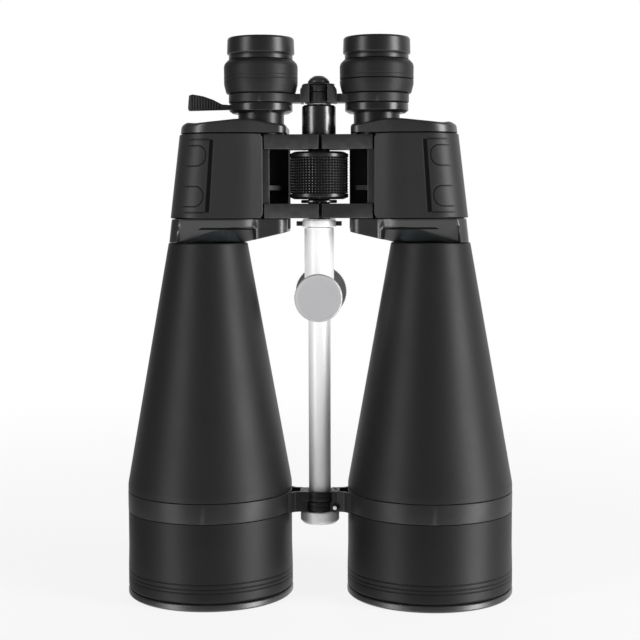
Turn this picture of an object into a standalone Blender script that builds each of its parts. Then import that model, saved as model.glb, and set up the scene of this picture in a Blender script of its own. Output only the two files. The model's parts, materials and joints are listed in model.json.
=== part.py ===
"""Large zoom binoculars for sky watching: two Porro-prism barrels that fold about a central rod.

The object stands on its two objective rims. The origin is on that plane, on the axis that both
barrels fold about: +X runs to the right barrel, -Y to the side with the focus wheel's grip and the
tripod clamp knob, +Z to the eyecups. All sizes below are in millimetres.
"""

import math

import bmesh
import bpy
from mathutils import Matrix

MM = 0.001  # Blender works in metres

# Facets around a turned piece.
LARGE_STEPS = 32
SMALL_STEPS = 20
WHEEL_STEPS = 32
PIN_STEPS = 12
ARC_STEPS = 4

# Clearances.
GAP = 0.3  # between two pieces that touch
TURN_GAP = 0.5  # round a piece that turns past another
SINK = 0.1  # how far a joined shape stays inside the faces of the one it joins

# Objective end of a barrel, from the floor up.
HOOD_RADIUS = 46.1
HOOD_WALL = 2.4
HOOD_HEIGHT = 43.3
HOOD_GROOVES = (10.1, 12.2, 14.8)
HOOD_GROOVE_DEPTH = 0.6
RIM_RADIUS = HOOD_RADIUS + 0.5
RIM_HEIGHT = 3.9
HOOD_BOTTOM = RIM_HEIGHT + GAP
HOOD_TOP = HOOD_BOTTOM + HOOD_HEIGHT
BAND_RADIUS = HOOD_RADIUS + 0.1
BAND_WALL = 1.4
BAND_HEIGHT = 10.8
BAND_BOTTOM = HOOD_TOP + GAP
BAND_TOP = BAND_BOTTOM + BAND_HEIGHT
LENS_RADIUS = HOOD_RADIUS - HOOD_WALL - 2.7
LENS_Z = HOOD_TOP - 7.5
LENS_EDGE = 4.0
LENS_SAG = 3.4
CONE_FOOT_HEIGHT = 3.8
CONE_LENGTH = 134.7
CONE_TOP_RADIUS = 22.1
CONE_WALL = 1.8
CONE_FOOT_Z = BAND_TOP + GAP
CONE_START_Z = CONE_FOOT_Z + CONE_FOOT_HEIGHT
CONE_TOP_Z = CONE_START_Z + CONE_LENGTH

# Axes of the barrels and of the eyepieces. The light steps across in two equal diagonals.
BARREL_ROOM = 15.9  # from the hinge axis to a hood
OBJECTIVE_X = HOOD_RADIUS + BARREL_ROOM
EYEPIECE_X = 32.0
PRISM_MIDDLE_X = (OBJECTIVE_X + EYEPIECE_X) / 2
PRISM_MIDDLE_Y = (OBJECTIVE_X - EYEPIECE_X) / 2

# Prisms.
PRISM_END_CUT = 3.4
PRISM_HALF_LENGTH = PRISM_MIDDLE_Y * math.sqrt(2) - PRISM_END_CUT
PRISM_HALF_WIDTH = 8.5
PRISM_EDGE = 1.2
PRISM_HEIGHT = PRISM_HALF_LENGTH - PRISM_EDGE
CLIP_THICKNESS = 0.8
CLIP_WIDTH = 6.0
SHELF_THICKNESS = 2.6
LIGHT_HOLE_RADIUS = 8.6
LENS_TUBE_ROOM = 12.9  # height kept free over the upper prism and under the lower one

# Focus wheel, which sets how far in the housings may reach.
WHEEL_RADIUS = 16.4
WHEEL_RIM = 3.2
WHEEL_CHAMFER = 1.2
WHEEL_KNURL_INSET = 0.5
WHEEL_POCKET_RADIUS = 10.0
WHEEL_HEADROOM = 1.1
WASHER_RADIUS = 10.0
WASHER_THICKNESS = 1.8

# Prism housing, with its shoulder below and the armour round it.
SHOULDER_HEIGHT = 12.9
SHOULDER_INSET = 0.3
SHOULDER_RISE = 5.6  # how far the underside climbs towards the hinge
SHOULDER_FLOOR = 1.0
SHOULDER_BOTTOM = CONE_TOP_Z + GAP
SHOULDER_TOP = SHOULDER_BOTTOM + SHOULDER_HEIGHT
ARMOUR_HEIGHT = 2 * PRISM_HEIGHT + LENS_TUBE_ROOM
ARMOUR_BOTTOM = SHOULDER_TOP + GAP
ARMOUR_TOP = ARMOUR_BOTTOM + ARMOUR_HEIGHT
ARMOUR_THICKNESS = 2.0
HOUSING_WALL = 2.0
HOUSING_LEAN = 5.6  # how far the outer side comes in from foot to top
HOUSING_INNER_X = WHEEL_RADIUS + 0.6
ARMOUR_INNER_X = HOUSING_INNER_X + 13.0
HOUSING_END_RADIUS = 20.6
HOUSING_OUTER_X = OBJECTIVE_X + HOUSING_END_RADIUS + 0.1
HOUSING_FRONT_Y = -HOUSING_END_RADIUS
HOUSING_REAR_Y = PRISM_MIDDLE_Y + 18.0
FRONT_BEND_X = ARMOUR_INNER_X + 10.0
FRONT_EDGE_Y = HOUSING_FRONT_Y + 4.6  # where the armour ends, beside the hinge arms
RECESS_X = HOUSING_INNER_X + 10.0
RECESS_Y = -4.0
SHELF_Z = SHOULDER_BOTTOM + PRISM_HEIGHT + 12.0

# Grip panel moulded into the armour's outer side.
GROOVE_X = OBJECTIVE_X
GROOVE_WIDTH = 1.8
GROOVE_DEPTH = 0.9
PANEL_MARGIN = 3.3
TAB_HEIGHT = 11.0
TAB_SPACING = 22.0
TAB_OFFSET = 6.5  # lower tab above the armour's foot
TAB_END_X = GROOVE_X + 1.4
TAB_RAISE = 0.5

# Cover plate over the prisms.
COVER_SEAM = 0.5
COVER_INSET = 0.6
COVER_STEP = 0.9
COVER_RIM_HEIGHT = 4.7
COVER_DOME_HEIGHT = 2.7
COVER_BOTTOM = ARMOUR_TOP + COVER_SEAM
COVER_RIM_TOP = COVER_BOTTOM + COVER_RIM_HEIGHT
COVER_TOP = COVER_RIM_TOP + COVER_DOME_HEIGHT
COVER_DOME_X = HOUSING_INNER_X + 7.0

# Hinge between the barrels.
HINGE_TUBE_RADIUS = 6.0
HINGE_TUBE_BORE = 4.3
ARM_SETBACK = 0.5  # behind the armour's front edge
ARM_FRONT_Y = FRONT_EDGE_Y + ARM_SETBACK
ARM_REAR_Y = 8.0
LOWER_ARM_HEIGHT = 8.0
UPPER_ARM_HEIGHT = 7.9
LOWER_ARM = (ARMOUR_BOTTOM, ARMOUR_BOTTOM + LOWER_ARM_HEIGHT)
UPPER_ARM = (ARMOUR_TOP - COVER_SEAM - UPPER_ARM_HEIGHT, ARMOUR_TOP - COVER_SEAM)
KNUCKLE_RADIUS = HINGE_TUBE_RADIUS + 3.0
SPLIT = 1.5  # slot between the two arms, seen from the front
FLANGE_THICKNESS = 0.5
FLANGE_BOTTOM = LOWER_ARM[0] - GAP - FLANGE_THICKNESS
WHEEL_BOTTOM = LOWER_ARM[1] + GAP + WASHER_THICKNESS + GAP
WHEEL_TOP = UPPER_ARM[0] - WHEEL_HEADROOM

# Eyepieces.
NECK_RADIUS = 12.7
NECK_BORE = NECK_RADIUS - 1.7
NECK_DEPTH = 7.2  # reach below the cover plate
ZOOM_RING_RADIUS = NECK_RADIUS + 4.8
ZOOM_RING_RISE = 3.6
ZOOM_RING_HEIGHT = 5.4
ZOOM_RING_LIP = 1.1
BRIDGE_HEIGHT = 4.9
BRIDGE_RING_RADIUS = ZOOM_RING_RADIUS + 0.3
GRIP_RADIUS = NECK_RADIUS + 7.7
GRIP_FOOT_RADIUS = GRIP_RADIUS - 1.2
GRIP_HEIGHT = 18.1
DIOPTRE_HEIGHT = 7.3
EYECUP_RADIUS = NECK_RADIUS + 5.9
EYECUP_LIP_RADIUS = EYECUP_RADIUS - 0.6
EYECUP_LIP_HEIGHT = 3.3
EYECUP_HEIGHT = 12.1
EYECUP_OPENING = NECK_RADIUS + 2.9
EYECUP_ROUNDING = 0.9
EYECUP_GROOVE = 0.8
NECK_BOTTOM = COVER_BOTTOM - NECK_DEPTH
ZOOM_RING_BOTTOM = COVER_TOP + ZOOM_RING_RISE
ZOOM_RING_TOP = ZOOM_RING_BOTTOM + ZOOM_RING_HEIGHT
BRIDGE_BOTTOM = ZOOM_RING_TOP + GAP
BRIDGE_TOP = BRIDGE_BOTTOM + BRIDGE_HEIGHT
GRIP_BOTTOM = BRIDGE_TOP + GAP
GRIP_SPLIT = GRIP_BOTTOM + DIOPTRE_HEIGHT
GRIP_TOP = GRIP_BOTTOM + GRIP_HEIGHT
NECK_TOP = GRIP_TOP + 1.9
EYECUP_BOTTOM = GRIP_TOP + GAP
EYECUP_LIP_TOP = EYECUP_BOTTOM + EYECUP_LIP_HEIGHT
EYECUP_TOP = EYECUP_BOTTOM + EYECUP_HEIGHT
EYE_LENS_Z = NECK_TOP - 7.5
ZOOM_LENS_Z = NECK_BOTTOM + 12.1
SMALL_LENS_EDGE = 3.0
SMALL_LENS_SAG = 1.6
LEVER_REACH = 40.4  # from the eyepiece's axis
LEVER_THICKNESS = 6.0

# Eyepiece bridge, on the spindle that the focus wheel lifts.
SPINDLE_RADIUS = HINGE_TUBE_BORE - 0.4
SPINDLE_FLANGE_RADIUS = 6.7
SPINDLE_FLANGE_THICKNESS = 0.4
FOCUS_TUBE_RADIUS = 9.4
FOCUS_TRAVEL = 8.0
KEY_RADIUS = 1.4
KEY_HALF_LENGTH = WHEEL_POCKET_RADIUS - 1.4
KEY_Z = WHEEL_BOTTOM + 5.2
SPINDLE_BOTTOM = KEY_Z - 4.0
HUB_HEIGHT = 10.0
HUB_BOTTOM = BRIDGE_BOTTOM - 0.2
HUB_TOP = HUB_BOTTOM + HUB_HEIGHT
HUB_SPLIT_Z = HUB_BOTTOM + 6.1
HUB_KNUCKLE_RADIUS = SPINDLE_RADIUS + 3.9
FOCUS_TUBE_TOP = HUB_BOTTOM - 2 * GAP - SPINDLE_FLANGE_THICKNESS
EAR_INNER_X = 5.0
EAR_OUTER_X = EYEPIECE_X - GRIP_RADIUS - 1.6
EAR_FRONT_Y = -HUB_KNUCKLE_RADIUS - 1.8
EAR_CHAMFER = 2.2
BRIDGE_FRONT_Y = -7.5
BRIDGE_REAR_Y = 5.0
HUB_WASHER_RADIUS = 9.0
HUB_WASHER_THICKNESS = 0.7
CAP_RADIUS = 6.0
CAP_FLAT_RADIUS = 3.2
CAP_HEIGHT = 3.8
CAP_EDGE = 0.8

# Central rod, tripod clamp and front bridge.
ROD_RADIUS = 6.2
COLLAR_RADIUS = ROD_RADIUS + 3.2
COLLAR_HEIGHT = 3.8
COLLAR_TOP = FLANGE_BOTTOM - GAP
COLLAR_BOTTOM = COLLAR_TOP - COLLAR_HEIGHT
PIN_RADIUS = 1.3
PIN_HALF_LENGTH = COLLAR_RADIUS + 3.2
CLAMP_RING_RADIUS = ROD_RADIUS + 2.9
LOWER_RING = (BAND_BOTTOM - 1.0, BAND_BOTTOM + 4.2)
UPPER_RING = (LOWER_RING[1] + GAP, LOWER_RING[1] + GAP + 5.4)
FRONT_RINGS = {"left": UPPER_RING, "right": LOWER_RING}
FRONT_ARM_BOTTOM = BAND_BOTTOM - 1.3
FRONT_ARM_TOP = BAND_TOP - 0.8
FRONT_ARM_HALF_WIDTH = 6.8
FRONT_ARM_FLARE = 13.0
FRONT_ARM_WALL = 2.0
END_CAP_RADIUS = ROD_RADIUS + 4.7
END_CAP_HEIGHT = 6.9
END_CAP_FLOOR = 2.6
END_CAP_TOP = LOWER_RING[0] - 0.5
END_CAP_BOTTOM = END_CAP_TOP - END_CAP_HEIGHT
ROD_BOTTOM = END_CAP_BOTTOM + END_CAP_FLOOR + GAP
SLEEVE_RADIUS = ROD_RADIUS + 2.0
SLEEVE_LENGTH = 50.1
SLEEVE_TOP = COLLAR_BOTTOM - GAP
SLEEVE_BOTTOM = SLEEVE_TOP - SLEEVE_LENGTH
CLAMP_Z = SLEEVE_BOTTOM + 11.9
BOSS_RADIUS = 6.0
KNOB_RADIUS = 13.1
KNOB_THICKNESS = 6.5
KNOB_STEM_RADIUS = 3.0
BOSS_FRONT_Y = -SLEEVE_RADIUS - 5.3
KNOB_REAR_Y = BOSS_FRONT_Y - 2.0
POST_RADIUS = 7.0
FOOT_RADIUS = 15.0
FOOT_THICKNESS = 8.0
FOOT_REAR_Y = RIM_RADIUS
SOCKET_RADIUS = 3.2  # for a quarter-inch tripod screw, left smooth
SOCKET_DEPTH = 6.0

SIDES = {"left": -1, "right": 1}

# Base colour, roughness and metallic value of each finish.
FINISHES = {
    "black_coating": ((0.020, 0.020, 0.022), 0.55, 0.0),
    "black_armour": ((0.028, 0.028, 0.029), 0.62, 0.0),
    "gloss_black": ((0.012, 0.012, 0.013), 0.22, 0.0),
    "black_rubber": ((0.022, 0.022, 0.023), 0.50, 0.0),
    "black_metal": ((0.015, 0.015, 0.016), 0.35, 0.6),
    "dark_chrome": ((0.10, 0.10, 0.11), 0.18, 1.0),
    "silver": ((0.72, 0.72, 0.74), 0.25, 1.0),
    "brushed_silver": ((0.55, 0.55, 0.56), 0.45, 1.0),
    "glass": ((0.30, 0.36, 0.40), 0.05, 0.0),
    "spring_steel": ((0.45, 0.45, 0.46), 0.35, 1.0),
}


def new_collection(name, hidden=False):
    """A collection under the scene's own."""
    collection = bpy.data.collections.new(name)
    collection.hide_render = hidden
    bpy.context.scene.collection.children.link(collection)
    return collection


def new_material(name):
    """One Principled material with a finish's own values."""
    colour, roughness, metallic = FINISHES[name]
    material = bpy.data.materials.new(name)
    material.use_nodes = True
    shader = material.node_tree.nodes["Principled BSDF"]
    shader.inputs["Base Color"].default_value = (*colour, 1.0)
    shader.inputs["Roughness"].default_value = roughness
    shader.inputs["Metallic"].default_value = metallic
    material.diffuse_color = (*colour, 1.0)
    return material


for old in list(bpy.data.objects):
    bpy.data.objects.remove(old, do_unlink=True)

PARTS = new_collection("astronomy_binoculars")
CUTTERS = new_collection("cutters", hidden=True)
MATERIALS = {name: new_material(name) for name in FINISHES}


# Basic shapes ------------------------------------------------------------------------------------


def place(name, mesh, finish, at=(0, 0)):
    """A mesh as an object of the model, or as a hidden helper when it has no finish."""
    obj = bpy.data.objects.new(name, mesh)
    obj.location = (at[0] * MM, at[1] * MM, 0)
    if finish:
        mesh.materials.append(MATERIALS[finish])
        PARTS.objects.link(obj)
    else:
        obj.hide_render = True
        obj.display_type = "WIRE"
        CUTTERS.objects.link(obj)
    return obj


def turned(name, profile, finish=None, at=(0, 0), steps=SMALL_STEPS):
    """A piece turned about Z: its (radius, z) profile runs down the outside, then up the bore.

    A profile that starts and ends on the axis is solid, and any other is closed into a ring.
    """
    mesh = bpy.data.meshes.new(name)
    points = [(radius * MM, 0, z * MM) for radius, z in profile]
    edges = [(i, i + 1) for i in range(len(points) - 1)]
    if profile[0][0] > 0:
        edges.append((len(points) - 1, 0))
    mesh.from_pydata(points, edges, [])
    obj = place(name, mesh, finish, at)
    screw = obj.modifiers.new("turn", "SCREW")
    screw.steps = screw.render_steps = steps
    screw.use_merge_vertices = True
    screw.merge_threshold = 0.00001
    return obj


def ring(name, outer, inner, bottom, top, finish=None, at=(0, 0), steps=SMALL_STEPS):
    """A plain ring."""
    profile = [(outer, top), (outer, bottom), (inner, bottom), (inner, top)]
    return turned(name, profile, finish, at, steps)


def drum(name, radius, bottom, top, finish=None, at=(0, 0), steps=SMALL_STEPS):
    """A plain solid cylinder."""
    profile = [(0, top), (radius, top), (radius, bottom), (0, bottom)]
    return turned(name, profile, finish, at, steps)


def plate(name, outline, bottom, top, finish=None):
    """A flat outline carried from one height to another."""
    curve = bpy.data.curves.new(name, "CURVE")
    curve.dimensions = "2D"
    curve.fill_mode = "BOTH"
    curve.extrude = (top - bottom) / 2 * MM
    spline = curve.splines.new("POLY")
    spline.points.add(len(outline) - 1)
    for point, (x, y) in zip(spline.points, outline):
        point.co = (x * MM, y * MM, 0, 1)
    spline.use_cyclic_u = True
    guide = bpy.data.objects.new(name + "_outline", curve)
    PARTS.objects.link(guide)
    bpy.context.view_layer.update()
    graph = bpy.context.evaluated_depsgraph_get()
    mesh = bpy.data.meshes.new_from_object(guide.evaluated_get(graph))
    bpy.data.objects.remove(guide, do_unlink=True)
    bpy.data.curves.remove(curve)
    mesh.materials.clear()
    shape = bmesh.new()
    shape.from_mesh(mesh)
    bmesh.ops.remove_doubles(shape, verts=shape.verts, dist=0.000001)
    bmesh.ops.recalc_face_normals(shape, faces=shape.faces)
    shape.to_mesh(mesh)
    shape.free()
    mesh.transform(Matrix.Translation((0, 0, (bottom + top) / 2 * MM)))
    mesh.name = name
    return place(name, mesh, finish)


def on_side(outline, side):
    """An outline drawn for the right-hand barrel, put on either side."""
    return [(side * x, y) for x, y in outline]


def block(name, low, high, finish=None):
    """A box between two corners."""
    outline = [(low[0], low[1]), (high[0], low[1]), (high[0], high[1]), (low[0], high[1])]
    return plate(name, outline, low[2], high[2], finish)


def boolean(obj, helper, operation, solver="EXACT"):
    """One Boolean step on a piece."""
    step = obj.modifiers.new(helper.name, "BOOLEAN")
    step.object = helper
    step.operation = operation
    step.solver = solver


def cut(obj, *helpers, solver="EXACT"):
    """Takes each helper away from the piece."""
    for helper in helpers:
        boolean(obj, helper, "DIFFERENCE", solver)


def join(obj, *helpers, solver="EXACT"):
    """Adds each helper to the piece."""
    for helper in helpers:
        boolean(obj, helper, "UNION", solver)


def along_y(obj, x, y, z):
    """Turns a piece made along Z to point along +Y, with its own origin at the place given."""
    obj.matrix_world = Matrix.Translation((x * MM, y * MM, z * MM)) @ Matrix.Rotation(
        -math.pi / 2, 4, "X"
    )


def rounded(corners):
    """An outline through corners given as (x, y, radius), each rounded by an arc."""
    points = []
    count = len(corners)
    for i, (x, y, radius) in enumerate(corners):
        if radius <= 0:
            points.append((x, y))
            continue
        before, after = corners[i - 1], corners[(i + 1) % count]
        to_before = math.atan2(before[1] - y, before[0] - x)
        to_after = math.atan2(after[1] - y, after[0] - x)
        opening = (to_after - to_before + math.pi) % (2 * math.pi) - math.pi
        half = abs(opening) / 2
        middle = to_before + opening / 2
        reach = radius / math.sin(half)
        centre = (x + reach * math.cos(middle), y + reach * math.sin(middle))
        swing = math.pi - 2 * half
        start = middle + math.pi + math.copysign(swing / 2, opening)
        for step in range(ARC_STEPS + 1):
            angle = start - math.copysign(swing * step / ARC_STEPS, opening)
            points.append(
                (centre[0] + radius * math.cos(angle), centre[1] + radius * math.sin(angle))
            )
    return points


def inset(corners, distance):
    """The same counter-clockwise corners with every side moved inwards."""
    moved = []
    count = len(corners)
    for i, (x, y, radius) in enumerate(corners):
        before, after = corners[i - 1], corners[(i + 1) % count]
        first = math.atan2(y - before[1], x - before[0])
        second = math.atan2(after[1] - y, after[0] - x)
        half = (second - first + math.pi) % (2 * math.pi) - math.pi
        reach = distance / math.cos(half / 2)
        middle = (first + half / 2) + math.pi / 2
        smaller = max(radius - distance, 0) if half > 0 else radius + distance
        moved.append((x + reach * math.cos(middle), y + reach * math.sin(middle), smaller))
    return moved


def lean(obj, side):
    """Leans the housing's outer side inwards from its foot to its top."""
    height = ARMOUR_TOP - ARMOUR_BOTTOM
    width = HOUSING_OUTER_X - ARMOUR_INNER_X
    for vertex in obj.data.vertices:
        share = (vertex.co.z / MM - ARMOUR_BOTTOM) / height
        outward = max(side * vertex.co.x / MM - ARMOUR_INNER_X, 0) / width
        vertex.co.x -= side * HOUSING_LEAN * share * outward * MM


# One barrel --------------------------------------------------------------------------------------


def armour_corners():
    """The armour's outside, counter-clockwise from the edge beside the hinge arms."""
    return [
        (ARMOUR_INNER_X, FRONT_EDGE_Y, 0.8),
        (FRONT_BEND_X, HOUSING_FRONT_Y + 1.2, 12.0),
        (HOUSING_OUTER_X, HOUSING_FRONT_Y, HOUSING_END_RADIUS),
        (HOUSING_OUTER_X, HOUSING_REAR_Y, 24.0),
        (ARMOUR_INNER_X, HOUSING_REAR_Y, 0.8),
    ]


def housing_corners():
    """The casting's outside, under the armour and in the recess beside the focus wheel."""
    cast = inset(armour_corners(), ARMOUR_THICKNESS + GAP)
    edge = FRONT_EDGE_Y + ARMOUR_THICKNESS
    return [
        (HOUSING_INNER_X, RECESS_Y, 1.5),
        (RECESS_X, edge, 0),
        (cast[1][0] - 6.5, edge, 0),
        cast[1],
        cast[2],
        cast[3],
        (HOUSING_INNER_X, cast[3][1], 6.0),
    ]


def outer_corners():
    """The full plan of the shoulder and of the cover plate, which reach in to the focus wheel."""
    return [
        (HOUSING_INNER_X, FRONT_EDGE_Y + GAP, 6.5),
        (FRONT_BEND_X, HOUSING_FRONT_Y + 1.2, 12.0),
        (HOUSING_OUTER_X, HOUSING_FRONT_Y, HOUSING_END_RADIUS),
        (HOUSING_OUTER_X, HOUSING_REAR_Y, 24.0),
        (HOUSING_INNER_X, HOUSING_REAR_Y, 7.0),
    ]


def make_objective(side_name, side):
    """The glass end of a barrel: rim, hood, both lenses and the long cone."""
    at = (side * OBJECTIVE_X, 0)
    rim_inner = LENS_RADIUS - 1.5
    rim = [
        (RIM_RADIUS - 0.8, RIM_HEIGHT),
        (RIM_RADIUS, RIM_HEIGHT - 0.8),
        (RIM_RADIUS, 0.5),
        (RIM_RADIUS - 0.5, 0),
        (rim_inner, 0),
        (rim_inner, RIM_HEIGHT),
    ]
    turned(side_name + "_objective_rim", rim, "gloss_black", at, LARGE_STEPS)

    hood_inner = HOOD_RADIUS - HOOD_WALL
    hood = [(HOOD_RADIUS, HOOD_TOP)]
    for z in sorted(HOOD_GROOVES, reverse=True):
        half = HOOD_GROOVE_DEPTH
        hood += [(HOOD_RADIUS, z + half), (HOOD_RADIUS - HOOD_GROOVE_DEPTH, z), (HOOD_RADIUS, z - half)]
    foot = HOOD_BOTTOM
    seat = LENS_Z - LENS_EDGE - 1.2
    hood += [
        (HOOD_RADIUS - 0.6, foot),
        (hood_inner - 1.5, foot),
        (hood_inner - 1.5, seat - 1.5),
        (rim_inner, seat - 1.5),
        (rim_inner, seat),
        (hood_inner, seat),
        (hood_inner, HOOD_TOP),
    ]
    turned(side_name + "_objective_hood", hood, "black_coating", at, LARGE_STEPS)

    crown = [
        (0, LENS_Z + LENS_SAG * 0.6),
        (LENS_RADIUS, LENS_Z),
        (LENS_RADIUS, LENS_Z - LENS_EDGE + GAP),
        (LENS_RADIUS * 0.55, LENS_Z - LENS_EDGE - LENS_SAG * 0.7),
        (0, LENS_Z - LENS_EDGE - LENS_SAG),
    ]
    turned(side_name + "_objective_crown_lens", crown, "glass", at, LARGE_STEPS)
    flint_low = LENS_Z + GAP
    flint = [
        (0, flint_low + LENS_EDGE + LENS_SAG * 0.3),
        (LENS_RADIUS, flint_low + LENS_EDGE),
        (LENS_RADIUS, flint_low),
        (0, flint_low + LENS_SAG * 0.6),
    ]
    turned(side_name + "_objective_flint_lens", flint, "glass", at, LARGE_STEPS)

    spigot = BAND_RADIUS - BAND_WALL - GAP
    shoulder = HOOD_RADIUS
    ledge = CONE_FOOT_Z
    cone = [
        (CONE_TOP_RADIUS - 0.4, CONE_TOP_Z),
        (CONE_TOP_RADIUS, CONE_TOP_Z - 0.5),
        (shoulder, CONE_START_Z),
        (shoulder, ledge),
        (spigot, ledge),
        (spigot, HOOD_TOP + GAP),
        (spigot - CONE_WALL, HOOD_TOP + GAP),
        (spigot - CONE_WALL, CONE_START_Z),
        (CONE_TOP_RADIUS - CONE_WALL, CONE_TOP_Z - 4),
        (CONE_TOP_RADIUS - CONE_WALL, CONE_TOP_Z),
    ]
    turned(side_name + "_barrel_cone", cone, "black_coating", at, LARGE_STEPS)


def make_front_bridge(side_name, side):
    """The band round a barrel's front, with its open arm and the ring that turns on the rod."""
    at = (side * OBJECTIVE_X, 0)
    name = side_name + "_front_bridge"
    near = OBJECTIVE_X - BAND_RADIUS
    low, high = FRONT_RINGS[side_name]
    other = FRONT_RINGS["right" if side_name == "left" else "left"]
    bore = BAND_RADIUS - BAND_WALL
    band = ring(name, BAND_RADIUS, bore, BAND_BOTTOM, BAND_TOP, "black_metal", at, LARGE_STEPS)
    start = (CLAMP_RING_RADIUS + ROD_RADIUS + GAP) / 2
    reach = near + 5
    arm = plate(
        name + "_arm",
        on_side(
            [
                (start, -FRONT_ARM_HALF_WIDTH),
                (near - 2, -FRONT_ARM_HALF_WIDTH - 1.0),
                (reach, -FRONT_ARM_FLARE),
                (reach, FRONT_ARM_FLARE),
                (near - 2, FRONT_ARM_HALF_WIDTH + 1.0),
                (start, FRONT_ARM_HALF_WIDTH),
            ],
            side,
        ),
        FRONT_ARM_BOTTOM,
        FRONT_ARM_TOP,
    )
    below, above = FRONT_ARM_BOTTOM - 5, FRONT_ARM_TOP + 5
    hood_room = drum(
        name + "_hood_room", HOOD_RADIUS + GAP, below, BAND_BOTTOM - SINK, None, at, LARGE_STEPS
    )
    inside_band = drum(
        name + "_inside_band", BAND_RADIUS - BAND_WALL / 2, below, above, None, at, LARGE_STEPS
    )
    cap_room = drum(
        name + "_cap_room", END_CAP_RADIUS + TURN_GAP, below, FRONT_RINGS["right"][0] - SINK
    )
    other_room = drum(
        name + "_other_room", CLAMP_RING_RADIUS + TURN_GAP, other[0] - GAP, other[1] + GAP
    )
    inner_x = CLAMP_RING_RADIUS + FRONT_ARM_WALL
    window = plate(
        name + "_window",
        on_side(
            [
                (inner_x, -FRONT_ARM_HALF_WIDTH + FRONT_ARM_WALL),
                (near + 3, -FRONT_ARM_FLARE + FRONT_ARM_WALL + 1.5),
                (near + 3, FRONT_ARM_FLARE - FRONT_ARM_WALL - 1.5),
                (inner_x, FRONT_ARM_HALF_WIDTH - FRONT_ARM_WALL),
            ],
            side,
        ),
        below,
        above,
    )
    cut(arm, hood_room, inside_band, cap_room, other_room, window)
    clamp = ring(name + "_clamp", CLAMP_RING_RADIUS, ROD_RADIUS + GAP, low, high)
    join(band, arm, clamp)


def make_housing(side_name, side):
    """The cast prism housing with its shoulder and both hinge arms."""
    name = side_name + "_prism_housing"
    corners = housing_corners()
    body = plate(
        name, on_side(rounded(corners), side), SHOULDER_BOTTOM + 5, ARMOUR_TOP, "gloss_black"
    )
    lean(body, side)
    shoulder = plate(
        name + "_shoulder",
        on_side(rounded(inset(outer_corners(), SHOULDER_INSET)), side),
        SHOULDER_BOTTOM,
        SHOULDER_TOP,
    )
    lean(shoulder, side)
    room = inset(corners, HOUSING_WALL)
    cavity = plate(
        name + "_room",
        on_side(rounded(room), side),
        SHOULDER_BOTTOM + SHOULDER_RISE + SHOULDER_FLOOR,
        ARMOUR_TOP + 5,
    )
    lean(cavity, side)
    well = drum(
        name + "_well",
        CONE_TOP_RADIUS - CONE_WALL - 2,
        SHOULDER_BOTTOM - 5,
        SHOULDER_BOTTOM + 12,
        None,
        (side * OBJECTIVE_X, 0),
        LARGE_STEPS,
    )
    under = make_wedge(name + "_under", side)
    eyepiece_room = drum(
        name + "_eyepiece_room",
        NECK_RADIUS + TURN_GAP,
        NECK_BOTTOM - 2,
        ARMOUR_TOP + 5,
        None,
        (side * EYEPIECE_X, 0),
    )
    hinge_pieces = []
    for level, (low, high) in (("lower", LOWER_ARM), ("upper", UPPER_ARM)):
        middle = (low + high) / 2
        own = (middle + GAP / 2, high) if side_name == "left" else (low, middle - GAP / 2)
        other = (low, middle + GAP / 2) if side_name == "left" else (middle - GAP / 2, high)
        arm = plate(
            f"{name}_{level}_arm",
            on_side(
                [
                    (SPLIT / 2, ARM_FRONT_Y),
                    (ARMOUR_INNER_X - GAP, ARM_FRONT_Y),
                    (ARMOUR_INNER_X - GAP, ARM_REAR_Y),
                    (HINGE_TUBE_RADIUS + 4, ARM_REAR_Y),
                    (SPLIT / 2, 0),
                ],
                side,
            ),
            low,
            high,
        )
        clear = drum(
            f"{name}_{level}_clear",
            KNUCKLE_RADIUS + TURN_GAP,
            other[0] - (5 if other[0] == low else 0),
            other[1] + (5 if other[1] == high else 0),
        )
        bore = HINGE_TUBE_RADIUS + GAP
        inside = drum(f"{name}_{level}_inside", (KNUCKLE_RADIUS + bore) / 2, low - 5, high + 5)
        cut(arm, clear, inside)
        knuckle = ring(f"{name}_{level}_knuckle", KNUCKLE_RADIUS, bore, own[0], own[1])
        hinge_pieces += [arm, knuckle]
    join(body, shoulder, *hinge_pieces)
    cut(body, cavity, well, under, eyepiece_room)


def make_wedge(name, side):
    """What the shoulder's rising underside leaves free, as a wedge lying along Y."""
    low = SHOULDER_BOTTOM
    start_x = OBJECTIVE_X - CONE_TOP_RADIUS - 1.0
    outline = [
        (HOUSING_INNER_X - 5, low - 4),
        (start_x, low - 4),
        (start_x, low + 1.2),
        (HOUSING_INNER_X, low + SHOULDER_RISE),
        (HOUSING_INNER_X - 5, low + SHOULDER_RISE + 1.2),
    ]
    wedge = plate(name, on_side(outline, side), -60, 60)
    wedge.matrix_world = Matrix.Rotation(math.pi / 2, 4, "X")
    return wedge


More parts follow.
